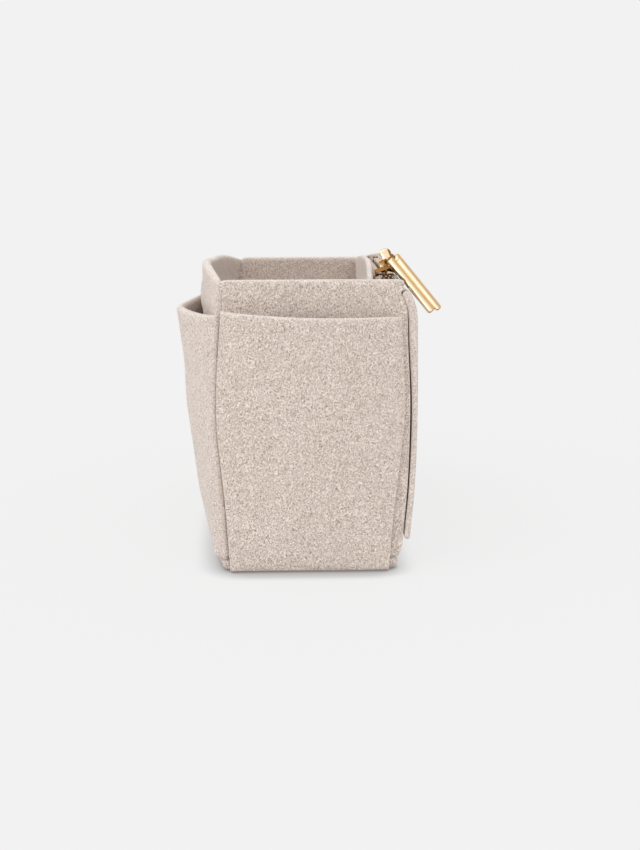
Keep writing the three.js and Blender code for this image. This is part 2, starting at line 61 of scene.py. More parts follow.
camera_data = bpy.data.cameras.new("camera")
camera_data.sensor_width = SENSOR
camera_data.lens = SENSOR * FOCAL_PIXELS / FRAME_HEIGHT
camera_data.clip_start = NEAR_CLIP
camera = bpy.data.objects.new("camera", camera_data)
bpy.context.scene.collection.objects.link(camera)
level_ahead = Vector((math.sin(YAW), math.cos(YAW), 0))
level_right = Vector((math.cos(YAW), -math.sin(YAW), 0))
forward = level_ahead * math.cos(TILT) - Vector((0, 0, math.sin(TILT)))
level_up = level_right.cross(forward)
right = level_right * math.cos(ROLL) + level_up * math.sin(ROLL)
up = level_up * math.cos(ROLL) - level_right * math.sin(ROLL)
turn = Matrix((right, up, -forward)).transposed().to_4x4()
camera.matrix_world = Matrix.Translation(CAMERA_PLACE) @ turn
bpy.context.scene.camera = camera
print("lens", round(camera_data.lens, 1), "mm, at", [round(c, 3) for c in CAMERA_PLACE])

# %% [markdown]
# ## Small helpers for materials
# A finish is a tree of shader nodes. Each node could be made and linked by hand, but a page of links hides
# what is worked out. Written as plain arithmetic it is easy to read, so one small class wraps a node's
# output, and adding or multiplying two of them makes the Math node for it.

# %% Node arithmetic
class Thread:
    """One output in a material's node tree."""

    def __init__(self, tree, socket):
        self.tree = tree
        self.socket = socket

    def node(self, kind, inputs=None, output=0, **settings):
        """Makes a node, joins or sets its inputs, and returns one of its outputs."""
        made = self.tree.nodes.new(kind)
        for key, value in settings.items():
            setattr(made, key, value)
        for key, value in (inputs or {}).items():
            if isinstance(value, Thread):
                self.tree.links.new(value.socket, made.inputs[key])
            else:
                made.inputs[key].default_value = value
        return Thread(self.tree, made.outputs[output])

    def math(self, operation, *values):
        return self.node("ShaderNodeMath", dict(enumerate(values)), operation=operation)

    def __add__(self, other):
        return self.math("ADD", self, other)

    __radd__ = __add__

    def __mul__(self, other):
        return self.math("MULTIPLY", self, other)

    __rmul__ = __mul__

    def __sub__(self, other):
        return self.math("SUBTRACT", self, other)

    def __rsub__(self, other):
        return self.math("SUBTRACT", other, self)

    def steps(self, low, high):
        """0 below low, 1 above high, and smooth in between."""
        inputs = {0: self, 1: low, 2: high, 3: 0.0, 4: 1.0}
        return self.node("ShaderNodeMapRange", inputs, interpolation_type="SMOOTHSTEP", clamp=True)

    def noise(self, scale, detail=2.0, roughness=0.5):
        inputs = {"Vector": self, "Scale": scale, "Detail": detail, "Roughness": roughness}
        return self.node("ShaderNodeTexNoise", inputs)

    def stretched(self, size, turn=(0.0, 0.0, 0.0)):
        """Coordinates in which one unit is size, in metres, along axes turned by turn."""
        inputs = {"Vector": self, "Scale": size, "Rotation": turn}
        return self.node("ShaderNodeMapping", inputs, vector_type="TEXTURE")

    def swirled(self, scale, reach):
        """The same place pushed about by slow noise, so that straight marks come out curved."""
        push = self.node("ShaderNodeTexNoise", {"Vector": self, "Scale": scale, "Detail": 1.0}, output=1)
        inputs = {0: push, 1: (reach, reach, reach), 2: self}
        return self.node("ShaderNodeVectorMath", inputs, operation="MULTIPLY_ADD")

    def blend(self, first, second):
        """Mixes two colours by this value."""
        inputs = {0: self, 6: first, 7: second}
        return self.node("ShaderNodeMix", inputs, output=2, data_type="RGBA")


print("node helpers:", [name for name in vars(Thread) if not name.startswith("_")])

# %% [markdown]
# Shaders work with linear light, while colours read off a screen are not linear. They could be looked up
# one by one in Blender's colour picker. One function turns them instead, so that the colours in this lesson
# are the ones that are seen. A second function starts a finish, and a third joins an output to it.

# %% Colours and finishes
def linear(red, green, blue):
    """A colour as it is read on screen, 0 to 255, as the linear values that shaders take."""
    def one(value):
        share = value / 255
        return share / 12.92 if share <= 0.04045 else ((share + 0.055) / 1.055) ** 2.4
    return (one(red), one(green), one(blue), 1.0)


def new_finish(name, **constants):
    """A material with one Principled shader; constants go straight onto its sockets."""
    material = bpy.data.materials.new(name)
    material.use_nodes = True
    shader = material.node_tree.nodes["Principled BSDF"]
    for key, value in constants.items():
        shader.inputs[key.replace("_", " ")].default_value = value
    start = Thread(material.node_tree, None)
    place = start.node("ShaderNodeTexCoord", output=3)
    return material, shader, place


def wire(thread, shader, socket):
    thread.tree.links.new(thread.socket, shader.inputs[socket])


print("mid grey on a screen is", round(linear(128, 128, 128)[0], 3), "in linear light")

# %% [markdown]
# ## The felt finish
# The felt is needled from light and dark fibres. Close up it is a salt-and-pepper grain under a millimetre
# across, with short curved hairs lying in every direction, and a cut edge looks paler because its loose ends
# catch the light. A picture of felt could be wrapped round the pieces, but it would stretch over every bow,
# so the colour is worked out from noise at each place instead. One noise gives the grain, and three sets of
# long thin noise, bent by a slow swirl, give the hairs. An attribute on the mesh says where the cut edge is,
# and there the colour is made paler as a painted highlight, strongest along the top edges.

# %% Felt
FIBRE = (0.00024, 0.00024, 0.0016)
FIBRE_TURNS = [(0.3, 0.5, 0.0), (-0.4, 1.6, 0.3), (0.2, 2.6, 0.8)]
GRAIN, PATCHES, SWIRLS = 1900.0, 95.0, 240.0
DEEP_FELT, PALE_FELT = linear(194, 174, 160), linear(254, 239, 228)
DARK_FIBRE, PALE_FIBRE, CUT_EDGE_HIGHLIGHT = linear(122, 100, 84), linear(255, 249, 243), linear(250, 242, 235)


def felt_finish():
    material, shader, place = new_finish("felt", Sheen_Weight=0.45, Sheen_Roughness=0.5, Roughness=0.95,
                                         Specular_IOR_Level=0.15)
    bent = place.swirled(SWIRLS, 0.0045)
    grain = place.noise(GRAIN, 3.0, 0.65)
    patch = place.noise(PATCHES, 2.0, 0.5)
    sets = [bent.stretched(FIBRE, turn).noise(1.0, 2.0, 0.55) for turn in FIBRE_TURNS]
    pale = sets[0].steps(0.54, 0.66) + sets[1].steps(0.55, 0.67)
    dark = sets[2].steps(0.54, 0.66) + (1.0 - sets[0]).steps(0.55, 0.67)
    tone = grain * 0.95 + patch * 0.05
    ground = tone.steps(0.35, 0.65).blend(DEEP_FELT, PALE_FELT)
    darkened = (dark * 0.72).blend(ground, DARK_FIBRE)
    lightened = (pale * 0.42).blend(darkened, PALE_FIBRE)
    # Painted highlight: where the rim attribute marks the cut edge, the colour is mixed towards a pale one.
    rim = place.node("ShaderNodeAttribute", output=2, attribute_name="rim")
    wire((rim * 0.5).blend(lightened, CUT_EDGE_HIGHLIGHT), shader, "Base Color")
    height = grain * 0.6 + pale * 0.35 - dark * 0.25
    bump = place.node("ShaderNodeBump", {"Strength": 0.6, "Distance": 0.0004, "Height": height})
    wire(bump, shader, "Normal")
    return material


felt = felt_finish()
print("felt nodes:", len(felt.node_tree.nodes))

# %% [markdown]
# ## Felt sheets
# Every wall and pocket is one cut sheet of felt, 2.2 mm thick, that stands on its sewn edges and bows
# between them. A sheet could be a flat plate bent by modifiers, but its bow, gape and lean are known as
# a line at each height, so the mesh follows that line: two faces half a thickness each side of it and
# a rounded cut edge all round.

# %% Middle of a sheet
MM = 0.001
FELT = 2.2
GAP = 0.3
SWELL_DEPTH = 9.0


def unit(vectors):
    return vectors / np.linalg.norm(vectors, axis=-1, keepdims=True)


def ripple(a, b, seed, depth=0.2):
    """The felt's slow waviness, a fraction of a millimetre."""
    return depth * (np.sin(0.055 * a + 0.031 * b + seed) + 0.6 * np.sin(0.043 * b - 0.021 * a + 1.7 * seed))


def sheet_middle(s_values, heights, middle, seed):
    """The sheet's middle as a grid of points in mm, with its directions along, up and through it."""
    points = np.array([[(*middle(s, z), z) for z in row] for s, row in zip(s_values, heights)])
    run, rise = np.gradient(points, axis=0), np.gradient(points, axis=1)
    side = unit(np.cross(run, rise))
    free = 1 - s_values[:, None] ** 4
    wave = ripple(points[:, :, 0] + points[:, :, 1], points[:, :, 2], seed) * free
    return points + side * wave[:, :, None], unit(run), unit(rise), side


def half_thickness(s_values, heights, bulk, swell):
    """Half the felt's thickness at each point, and how far its middle moves where the rim swells."""
    near_top = np.clip(1 - (heights[:, -1:] - heights) / SWELL_DEPTH, 0, 1)
    puff = swell / 2 * near_top ** 2 * (3 - 2 * near_top) * (1 - s_values[:, None] ** 8)
    folds = np.array([[bulk(s, z) for z in row] for s, row in zip(s_values, heights)])
    return FELT / 2 * folds + puff, puff


print("felt is", FELT, "mm thick and sewn at a clearance of", GAP, "mm")

# %% Cut edge and shell of a sheet
EDGE_STEPS = 5
EDGE_ROUND = 0.8
# How much painted highlight each part of the cut edge takes: most along the top, less at the sides.
TOP_MARK, SIDE_MARK, SIDE_EDGE_MARK = 0.35, 0.1, 0.4


def cut_edge(run, rise, half, soft):
    """How far the cut edge stands out at each point of the sheet's border, once round."""
    n, m = half.shape
    border = [(i, 0) for i in range(n - 1)] + [(n - 1, j) for j in range(m - 1)]
    border += [(i, m - 1) for i in range(n - 1, 0, -1)] + [(0, j) for j in range(m - 1, 0, -1)]
    reach = {}
    for i, j in border:
        out = run[i, j] * ((i == n - 1) * soft[1] - (i == 0) * soft[0])
        out = out + rise[i, j] * ((j == m - 1) * soft[3] - (j == 0) * soft[2])
        reach[i, j] = out * EDGE_ROUND * half[i, j]
    return reach


def shell_mesh(name, inset, deep, reach):
    """Two faces joined by a rounded edge; the rim attribute marks the cut edge for the finish."""
    n, m = inset.shape[:2]
    count = n * m
    vertices = [*(inset + deep).reshape(-1, 3), *(inset - deep).reshape(-1, 3)]
    rim = [0.0] * len(vertices)
    faces = []
    for corner in (i * m + j for i in range(n - 1) for j in range(m - 1)):
        quad = (corner, corner + m, corner + m + 1, corner + 1)
        faces += [quad, tuple(count + k for k in (quad[0], quad[3], quad[2], quad[1]))]
    rings = []
    for (i, j), out in reach.items():
        on_top = j == m - 1
        ring = [i * m + j]
        for k in range(1, EDGE_STEPS):
            angle = math.pi * k / EDGE_STEPS
            ring.append(len(vertices))
            vertices.append(inset[i, j] + deep[i, j] * math.cos(angle) + out * math.sin(angle))
            rim.append(math.sin(angle) if on_top else SIDE_EDGE_MARK)
        ring.append(count + i * m + j)
        rim[ring[0]] = rim[ring[-1]] = TOP_MARK if on_top else SIDE_MARK
        rings.append(ring)
    for ring, after in zip(rings, rings[1:] + rings[:1]):
        faces += [(after[k], ring[k], ring[k + 1], after[k + 1]) for k in range(EDGE_STEPS)]
    mesh = bpy.data.meshes.new(name)
    mesh.from_pydata([tuple(MM * v) for v in vertices], [], faces)
    mesh.attributes.new("rim", "FLOAT", "POINT").data.foreach_set("value", rim)
    mesh.polygons.foreach_set("use_smooth", [True] * len(mesh.polygons))
    mesh.materials.append(felt)
    mesh.update()
    return mesh


print("a cut edge is rounded in", EDGE_STEPS, "steps")

# %% Felt sheet builder
def grid_area(points):
    """Area of a grid of points, in square millimetres."""
    a, b, c, d = points[:-1, :-1], points[1:, :-1], points[1:, 1:], points[:-1, 1:]
    halves = np.cross(b - a, c - a), np.cross(c - a, d - a)
    return sum(np.linalg.norm(h, axis=2).sum() / 2 for h in halves)


def felt_sheet(name, middle, foot, top, grid, soft, seed, bulk=lambda s, z: 1.0, swell=0.0):
    """middle(s, z) gives x and y in mm for s from -1 to 1; foot and top give the sheet's edges in z.
    soft says how round the cut edge is at the start, the end, the foot and the top, bulk how many times
    its usual thickness the felt has where it is turned over, and swell how far its rim fluffs out inside."""
    along, upward = grid
    s_values = np.linspace(-1, 1, along + 1)
    shares = np.linspace(0, 1, upward + 1)
    heights = np.array([[foot(s) + (top(s) - foot(s)) * t for t in shares] for s in s_values])
    points, run, rise, side = sheet_middle(s_values, heights, middle, seed)
    half, puff = half_thickness(s_values, heights, bulk, swell)
    reach = cut_edge(run, rise, half, soft)
    inset = points + side * puff[:, :, None]
    for spot, out in reach.items():
        inset[spot] -= out
    sheet = bpy.data.objects.new(name, shell_mesh(name, inset, side * half[:, :, None], reach))
    bpy.context.scene.collection.objects.link(sheet)
    width = np.linalg.norm(np.diff(points, axis=0), axis=2).sum(axis=0).max()
    tall = np.linalg.norm(np.diff(points, axis=1), axis=2).sum(axis=1).max()
    cut = {"flat": (width * MM, tall * MM), "area": grid_area(points) * MM * MM}
    print(f"{name}: cut from {width:.0f} x {tall:.0f} mm of felt, {len(sheet.data.polygons)} faces")
    return sheet, cut


def sew_on(sheet, node):
    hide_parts(node)
    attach(sheet, "root")


square = np.array([[(x, y, 0.0) for y in (0, 10)] for x in (0, 10)])
print("a square of 10 mm measures", grid_area(square), "square mm")

# %% [markdown]
# ## The tray's walls
# The left wall bows outward between its corners and its rim is crowned. The right wall leans in under
# the zip, and the two end walls stand between them. Boxes with a bevel would look stiff, because felt isn't
# perfectly flat anywhere. So each wall is a felt sheet with its own line, crown and slow ripple, and the rims
# of the left and far walls swell a little, as felt does where it was cut. First come the sizes and the lines
# that several pieces share.

# %% Tray sizes and shared lines
LENGTH = 170.0
HALF_LENGTH = LENGTH / 2
HALF_WIDTH = 34.0
RIM = 111.0
BASE = 4.8
WALL_FOOT = BASE + GAP
ZIP_X, ZIP_Y, ZIP_Z = 29.6, -71.9, 111.5
ZIP_SKEW = math.radians(2.1)
TAPE_REACH = 5.1
END_Y = HALF_LENGTH - FELT - GAP
PANEL_FOOT, PANEL_TOP = 12.0, ZIP_Z - 3.7
PANEL_BELLY = [(0, 1.8), (0.23, 3.5), (0.5, 4.1), (0.8, 3.8), (0.92, 3.2), (1, 0)]
PANEL_BULGE = 3.0


def zip_x(y):
    return ZIP_X + (y - ZIP_Y) * math.tan(ZIP_SKEW)


def smooth(value, low, high):
    t = min(max((value - low) / (high - low), 0.0), 1.0)
    return t * t * (3 - 2 * t)


def level(height):
    return lambda s: height


def smooth_through(points, value):
    """A smooth line through points, by their first coordinate."""
    xs, ys = zip(*points)
    last = len(xs) - 1
    around = [(max(i - 1, 0), min(i + 1, last)) for i in range(last + 1)]
    slopes = [(ys[after] - ys[before]) / (xs[after] - xs[before]) for before, after in around]
    i = max(0, min(last - 1, sum(value > x for x in xs) - 1))
    width = xs[i + 1] - xs[i]
    t = min(max((value - xs[i]) / width, 0.0), 1.0)
    early, late = (1 - t) ** 2, t * t
    return (early * (1 + 2 * t) * ys[i] + early * t * width * slopes[i]
            + late * (3 - 2 * t) * ys[i + 1] - late * (1 - t) * width * slopes[i + 1])


def panel_inner(y, z):
    """Inner face of the zipped pocket's outer panel."""
    share = (min(z, PANEL_TOP) - PANEL_FOOT) / (PANEL_TOP - PANEL_FOOT)
    foot = HALF_WIDTH + GAP
    top = zip_x(y) + TAPE_REACH + GAP
    middle = PANEL_BULGE * (1 - (y / HALF_LENGTH) ** 2) * math.sin(math.pi * share)
    return foot + (top - foot) * share + smooth_through(PANEL_BELLY, share) + middle


print("tray", LENGTH, "x", 2 * HALF_WIDTH, "x", RIM, "mm")

# %% Long walls
LEFT_BOW, LEFT_BOW_ABOVE, LEFT_ROLL = 5.0, 3.7, 0.8
LEFT_CROWN, LEFT_WAVE = 4.2, 1.2
LEFT_TUCK = 1.5
RIGHT_CROWN, RIGHT_CROWN_Y = 6.5, -55.0


def left_middle(y, z):
    """x of the left wall's middle, bowed more towards the rim, with a slight roll above the pocket."""
    share = (z - WALL_FOOT) / (RIM - WALL_FOOT)
    roll = LEFT_ROLL * smooth(z, 98, 101) * (1 - smooth(z, 104, RIM))
    power = 4 - smooth(z, 98, RIM)
    bow = LEFT_BOW + LEFT_BOW_ABOVE * share + roll
    return -HALF_WIDTH + FELT / 2 - bow * (1 - abs(y / HALF_LENGTH) ** power)


def right_middle(y, z):
    """x of the right wall's middle, leaning in from the base towards the zip."""
    foot = HALF_WIDTH - FELT / 2
    top = zip_x(y) - TAPE_REACH - GAP - FELT / 2
    return foot + (top - foot) * smooth(z, 14, 104)


def left_wall_line(s, z):
    y = s * HALF_LENGTH
    return left_middle(y, z) + LEFT_TUCK * smooth(s, 0.86, 1.0) * smooth(z, 92, RIM), y


def right_wall_line(s, z):
    y = s * END_Y
    return right_middle(y, z), y


def left_rim(s):
    wave = smooth(-s, -0.2, 0.35) * (1 - smooth(-s, 0.5, 0.9))
    return RIM + LEFT_CROWN * (1 - abs(s) ** 5) + LEFT_WAVE * wave


def right_rim(s):
    """Highest towards the near end."""
    y = s * END_Y
    reach = HALF_LENGTH + (RIGHT_CROWN_Y if y < RIGHT_CROWN_Y else -RIGHT_CROWN_Y)
    return RIM + RIGHT_CROWN * (1 - ((y - RIGHT_CROWN_Y) / reach) ** 2)


print("left rim's crown", LEFT_CROWN, "mm, right rim's crown", RIGHT_CROWN, "mm")

# %% [markdown]
# The end walls reach past the tray's right corner and close the zipped pocket's ends. A dark seam shows
# beside them where the outer panel stands off, and it closes above the slip pocket, where the panel's
# corner is turned over. A wall cut straight down would cross the bellied panel, so its right edge follows
# the panel at a named seam.

# %% End walls
END_LEFT = 1.9 - HALF_WIDTH
SEAM, SEAM_AT_HEM, SEAM_CLOSING = 0.5, 1.0, 0.24
HEM_FROM, HEM_FULL = 60, 96
LAP, FOOT_ROUND, SHOULDER = 1.2, 1.8, 1.2
TURN, TURN_FROM, TURN_EASE = 0.06, 0.6, 1.2
END_LIFT, CORNER_DROP, RIGHT_DROP, FAR_LIFT = 0.3, 0.5, 0.4, 1.1


def turned_back(x):
    """How far the end felt turns back beyond the tray's right corner."""
    beyond = max(x - HALF_WIDTH + TURN_FROM, 0)
    return TURN * beyond ** 2 / (beyond + TURN_EASE)


def end_wall_line(facing):
    """facing is -1 for the near wall and 1 for the far one."""
    def line(s, z):
        left = END_LEFT + (smooth(z, 94, RIM) if facing > 0 else 0)
        seam = SEAM + SEAM_AT_HEM * smooth(z, HEM_FROM, HEM_FULL) - SEAM_CLOSING * smooth(z, HEM_FULL, 100)
        beyond = panel_inner(facing * HALF_LENGTH, z) - HALF_WIDTH - seam
        right = HALF_WIDTH + max(beyond, LAP * (1 - smooth(z, 40, 90))) - FOOT_ROUND * (1 - smooth(z, 4, 10))
        right += SHOULDER * smooth(z, 107, 108.6) if facing < 0 else 0
        x = (left + right) / 2 + s * (right - left) / 2
        return x, facing * (HALF_LENGTH - FELT / 2 - turned_back(x))
    return line


def near_rim(s):
    return RIM + END_LIFT - CORNER_DROP * abs(s) ** 40 - RIGHT_DROP * smooth(s, 0.97, 1.0)


def far_rim(s):
    return near_rim(s) + FAR_LIFT - smooth(-s, 0.94, 1.0)


UPWARD = 48
walls = [
    ("left_wall", left_wall_line, left_rim, 96, (0.2, 0.2, 1, 1), 1.5),
    ("right_wall", right_wall_line, right_rim, 80, (0.2, 0.2, 1, 1), 0.0),
    ("near_end_wall", end_wall_line(-1), near_rim, 96, (0.1, 0.3, 1, 1), 0.0),
    ("far_end_wall", end_wall_line(1), far_rim, 96, (0.1, 0.3, 1, 1), 0.7),
]
for seed, (node, line, rim_line, along, soft, swell) in enumerate(walls):
    wall, cut = felt_sheet("felt_" + node, line, level(WALL_FOOT), rim_line, (along, UPWARD), soft, seed,
                           swell=swell)
    sew_on(wall, node)

# %% [markdown]
# ## The slip pockets
# Each pocket is sewn to its wall along the sides and foot, and its free top edge stands off the wall.
# The left one is also sewn down at mid-length, so that it gapes in two lobes. Cloth simulation could open
# the mouths, but the photograph shows how far each one gapes, so that gape is written into the sheet's line.
# An end pocket's sides lean as the photograph shows them, as smooth lines through a few measured widths.

# %% Lines of the pockets
END_POCKET_RIGHT = [(0.5, 30.2), (22.0, 31.8), (62.0, 35.6), (97.7, 34.1)]
END_POCKET_LEFT = [(0.5, 30.6), (22.0, 31.8), (62.0, 34.8), (97.7, 32.6)]
POCKET_FOOT, POCKET_TOP, POCKET_LIFT = 0.5, 97.7, 2.4
END_GAPE = 7.0
LEFT_TOP, LEFT_SAG, LEFT_TACK = 99.3, 1.0, 1.2
NEAR_GAPE, FAR_GAPE = 7.9, 5.0
LEFT_BELLY, LEFT_DRAWN_IN = 1.7, 1.8
LEFT_SHARE = 0.982
WRAP_FROM, WRAP_OUT, WRAP_FORWARD = 0.955, 1.2, 1.6


def end_pocket_line(facing):
    def line(s, z):
        share = max(z - POCKET_FOOT, 0) / (POCKET_TOP - POCKET_FOOT)
        belly = END_GAPE * (1 - s * s) * share ** 0.8
        left, right = smooth_through(END_POCKET_LEFT, z), smooth_through(END_POCKET_RIGHT, z)
        return (s + 1) / 2 * (left + right) - left, facing * (HALF_LENGTH + GAP + FELT / 2 + belly)
    return line


def left_pocket_line(s, z):
    """Set off square to the wall; the near end wraps round to meet the end pocket."""
    y = s * HALF_LENGTH * LEFT_SHARE
    slope = (left_middle(y + GAP, z) - left_middle(y - GAP, z)) / (2 * GAP)
    share = max(z - WALL_FOOT, 0) / (LEFT_TOP - WALL_FOOT)
    lobe = math.sin(math.pi * abs(s) ** 1.5)
    belly = LEFT_BELLY * smooth(z, 10, 30) * (1 - smooth(z, 58, 82)) - LEFT_DRAWN_IN * (1 - smooth(z, 4, 16))
    off = FELT + GAP + lobe * ((NEAR_GAPE if s < 0 else FAR_GAPE) * share ** 1.1 + belly)
    flat = off / math.hypot(1, slope)
    x, y = left_middle(y, z) - flat, y + flat * slope
    wrap = smooth(-s, WRAP_FROM, 1.0)
    return x + wrap * (-smooth_through(END_POCKET_LEFT, z) - WRAP_OUT - x), y - WRAP_FORWARD * wrap


def left_lip(s):
    return LEFT_TOP - LEFT_SAG * smooth(-s, 0.7, 1.0) + LEFT_TACK * (1 - smooth(abs(s), 0.05, 0.5))


def lifted(s):
    """An end pocket's mouth rises towards its left corner."""
    return POCKET_TOP + POCKET_LIFT * ((1 - s) / 2) ** 3


print("mouths gape", END_GAPE, NEAR_GAPE, "and", FAR_GAPE, "mm")

# %% Pockets
pockets = [
    ("near_end_pocket", end_pocket_line(-1), level(POCKET_FOOT), lifted, 64, (0.5, 0.8, 1, 1), 0.0),
    ("far_end_pocket", end_pocket_line(1), level(POCKET_FOOT), lifted, 64, (0.5, 0.8, 1, 1), 0.0),
    ("left_pocket", left_pocket_line, level(WALL_FOOT), left_lip, 160, (0.3, 0.2, 1, 1), 1.0),
]
for seed, (node, line, foot_line, rim_line, along, soft, swell) in enumerate(pockets, start=4):
    pocket, cut = felt_sheet("felt_" + node, line, foot_line, rim_line, (along, UPWARD), soft, seed + 0.5,
                             swell=swell)
    sew_on(pocket, node)

# %% [markdown]
# ## The zipped pocket
# On the right an outer panel makes a flat pocket with the leaning wall, and a narrow felt gusset closes
# each end of it. The panel bellies out at mid-length, and its upper corners are turned over, so they are
# thicker. The hem could be a second strip laid over the first. One sheet whose thickness grows there shows
# the same and leaves no hidden faces. The far gusset stands up as a tab over the end of the zip.

# %% Zipped pocket
HEM_EXTRA = 0.55
PANEL_DROP, PANEL_DIP = 1.0, 1.1
GUSSET_FOOT, GUSSET_SHORT, GUSSET_AT_HEM = 26.0, 1.9, 0.6
TAB_TOP, TAB_RISE, TAB_REACH = 114.0, 1.5, 4.0


def hem(s, z):
    """The outer panel is turned over at its upper corners."""
    return 1 + HEM_EXTRA * smooth(abs(s), 0.955, 0.985) * smooth(z, HEM_FROM, HEM_FULL)


def panel_line(s, z):
    y = s * HALF_LENGTH
    return panel_inner(y, z) + FELT * (1 - hem(s, z) / 2), y


def panel_rim(s):
    """Dips at mid-length, so that the pull's bar clears it all along the zip."""
    return PANEL_TOP - PANEL_DROP - PANEL_DIP * (1 - s * s)


def gusset_line(facing):
    y = facing * (END_Y - FELT / 2)

    def line(s, z):
        low = right_middle(y, z) + FELT / 2 + GAP
        high = panel_inner(y, z) - GUSSET_SHORT + GUSSET_AT_HEM * smooth(z, 90, 99)
        high += TAB_REACH * smooth(z, PANEL_TOP, PANEL_TOP + 1.5)
        x = low + (high - low) * (s + 1) / 2
        return x, y - facing * turned_back(x)
    return line


def far_tab(s):
    return TAB_TOP + TAB_RISE * s


panel, cut = felt_sheet("felt_zip_pocket_panel", panel_line, level(PANEL_FOOT), panel_rim, (160, 60),
                        (0.6, 0.6, 1, 1), 2.2, bulk=hem)
sew_on(panel, "zip_pocket_panel")
for end, facing, gusset_top in (("near", -1, level(PANEL_TOP)), ("far", 1, far_tab)):
    gusset, cut = felt_sheet(f"felt_{end}_gusset", gusset_line(facing), level(GUSSET_FOOT), gusset_top,
                             (80, 60), (0.2, 0.5, 1, 1), 3.1)
    sew_on(gusset, f"{end}_gusset")

# %% [markdown]
# ## The base
# The base is felt turned over at its edge, so it has a soft roll all round and a flat underside. A plate with
# a bevel could stand for it, but its left side is bowed like the wall above. So rings of the base's own
# outline are drawn in at the top and bottom of the roll, and follow the bow and the round corners.

# %% Outline of the base
BASE_CORNER, BASE_BOW, BASE_ROLL = 4.0, 5.0, 2.3
SIDE_POINTS, CORNER_STEPS, ROLL_STEPS = 30, 12, 8


def corner_arc(a, b, c):
    """Points of the round corner that leaves a, turns at b and ends in c."""
    a, b, c = np.array(a), np.array(b), np.array(c)
    shares = [k / CORNER_STEPS for k in range(CORNER_STEPS + 1)]
    return [(1 - t) ** 2 * a + 2 * t * (1 - t) * b + t * t * c for t in shares]


def base_outline(inset):
    w, h, r = HALF_WIDTH, HALF_LENGTH, BASE_CORNER
    straight = h - r
    left = lambda y: -w - BASE_BOW * (1 - (y / straight) ** 4)
    upward = np.linspace(-straight, straight, SIDE_POINTS)
    points = [np.array((w, y)) for y in upward[:-1]]
    points += corner_arc((w, straight), (w, h), (w - r, h))
    points += corner_arc((r - w, h), (-w, h), (left(straight), straight))
    points += [np.array((left(y), y)) for y in upward[::-1][1:-1]]
    points += corner_arc((left(-straight), -straight), (-w, -h), (r - w, -h))
    points += corner_arc((w - r, -h), (w, -h), (w, -straight))
    loop = np.array(points[:-1])
    ahead = unit(np.roll(loop, -1, axis=0) - np.roll(loop, 1, axis=0))
    inward = np.stack([-ahead[:, 1], ahead[:, 0]], axis=1)
    return loop + inward * inset


print("outline of the base:", len(base_outline(0)), "points")

# %% Base
def base_mesh(name):
    rings = []
    for k in range(ROLL_STEPS + 1):
        angle = math.pi * k / ROLL_STEPS
        z = BASE / 2 - BASE / 2 * math.cos(angle)
        rings.append([(x, y, z) for x, y in base_outline(BASE_ROLL * (1 - math.sin(angle)))])
    size = len(rings[0])
    vertices = [v for ring in rings for v in ring]
    faces = []
    for r in range(ROLL_STEPS):
        for k in range(size):
            after = (k + 1) % size
            faces.append((r * size + k, r * size + after, (r + 1) * size + after, (r + 1) * size + k))
    faces.append(tuple(range(size))[::-1])
    faces.append(tuple(range(ROLL_STEPS * size, len(vertices))))
    mesh = bpy.data.meshes.new(name)
    mesh.from_pydata([tuple(MM * c for c in v) for v in vertices], [], faces)
    mesh.polygons.foreach_set("use_smooth", [len(p.vertices) == 4 for p in mesh.polygons])
    mesh.attributes.new("rim", "FLOAT", "POINT")
    mesh.update()
    mesh.materials.append(felt)
    piece = bpy.data.objects.new(name, mesh)
    bpy.context.scene.collection.objects.link(piece)
    return piece


base = base_mesh("felt_base")
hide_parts("base_panel")
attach(base, "root")
print("base faces:", len(base.data.polygons))

# %% [markdown]
# ## Metal finishes
# Stops, slider and pull are brass-coloured metal. The bright polished copy is on the hook, the pin, the
# pull's bar and the nubs; a darker copy of the same gold is painted shade on the slider's body and the pull's
# eye and neck, and a near-black copy is painted shade on all three stops, as in the mouth of the zip. The
# teeth are lacquered in the colour of the tape, so they are only partly metal. One function makes all four. A
# single colour and roughness would look like plastic, so slow smudges and fine handling marks break up the
# reflection a little.

# %% Gold metal
def metal_finish(name, colour, roughness, marks, bare=1.0):
    material, shader, place = new_finish(name, Metallic=bare)
    smudge = place.noise(260.0, 3.0, 0.6)
    scratches = place.stretched((0.003, 0.0004, 0.003), (0.3, 0.2, 0.5)).noise(1.0, 3.0, 0.6)
    worn = tuple(c * 0.92 for c in colour[:3]) + (1.0,)
    wire(smudge.steps(0.3, 0.7).blend(colour, worn), shader, "Base Color")
    wire(smudge * marks + scratches * marks + (roughness - marks), shader, "Roughness")
    return material


gold = metal_finish("polished_gold", linear(250, 236, 210), 0.15, 0.05)
brass = metal_finish("lacquered_teeth", linear(222, 208, 192), 0.42, 0.10, 0.25)
# A darker copy of the gold: painted shade for the slider's body and the pull's eye and neck.
gold_in_shade = metal_finish("shaded_gold", linear(152, 112, 64), 0.22, 0.08)
# A near-black copy of the metal: painted shade, used on all the stops.
mouth = metal_finish("mouth_painted_shade", linear(84, 62, 42), 0.35, 0.10)
print("metal finishes:", [finish.name for finish in (gold, brass, gold_in_shade, mouth)])

# %% [markdown]
# ## Shaping tools
# The metal pieces start as primitives and are shaped in edit mode. They could be written point by point, as
# the felt is, but hard metal is easier to cut, bevel and scale as one would by hand. A few small helpers keep
# that readable. The first choose pieces and run an edit on the points that pass a test, the next make blocks
# and rods, and the last join, round, copy and move pieces.

# %% Choose and edit
def choose(*pieces):
    bpy.ops.object.select_all(action="DESELECT")
    for piece in pieces:
        piece.select_set(True)
    bpy.context.view_layer.objects.active = pieces[0]


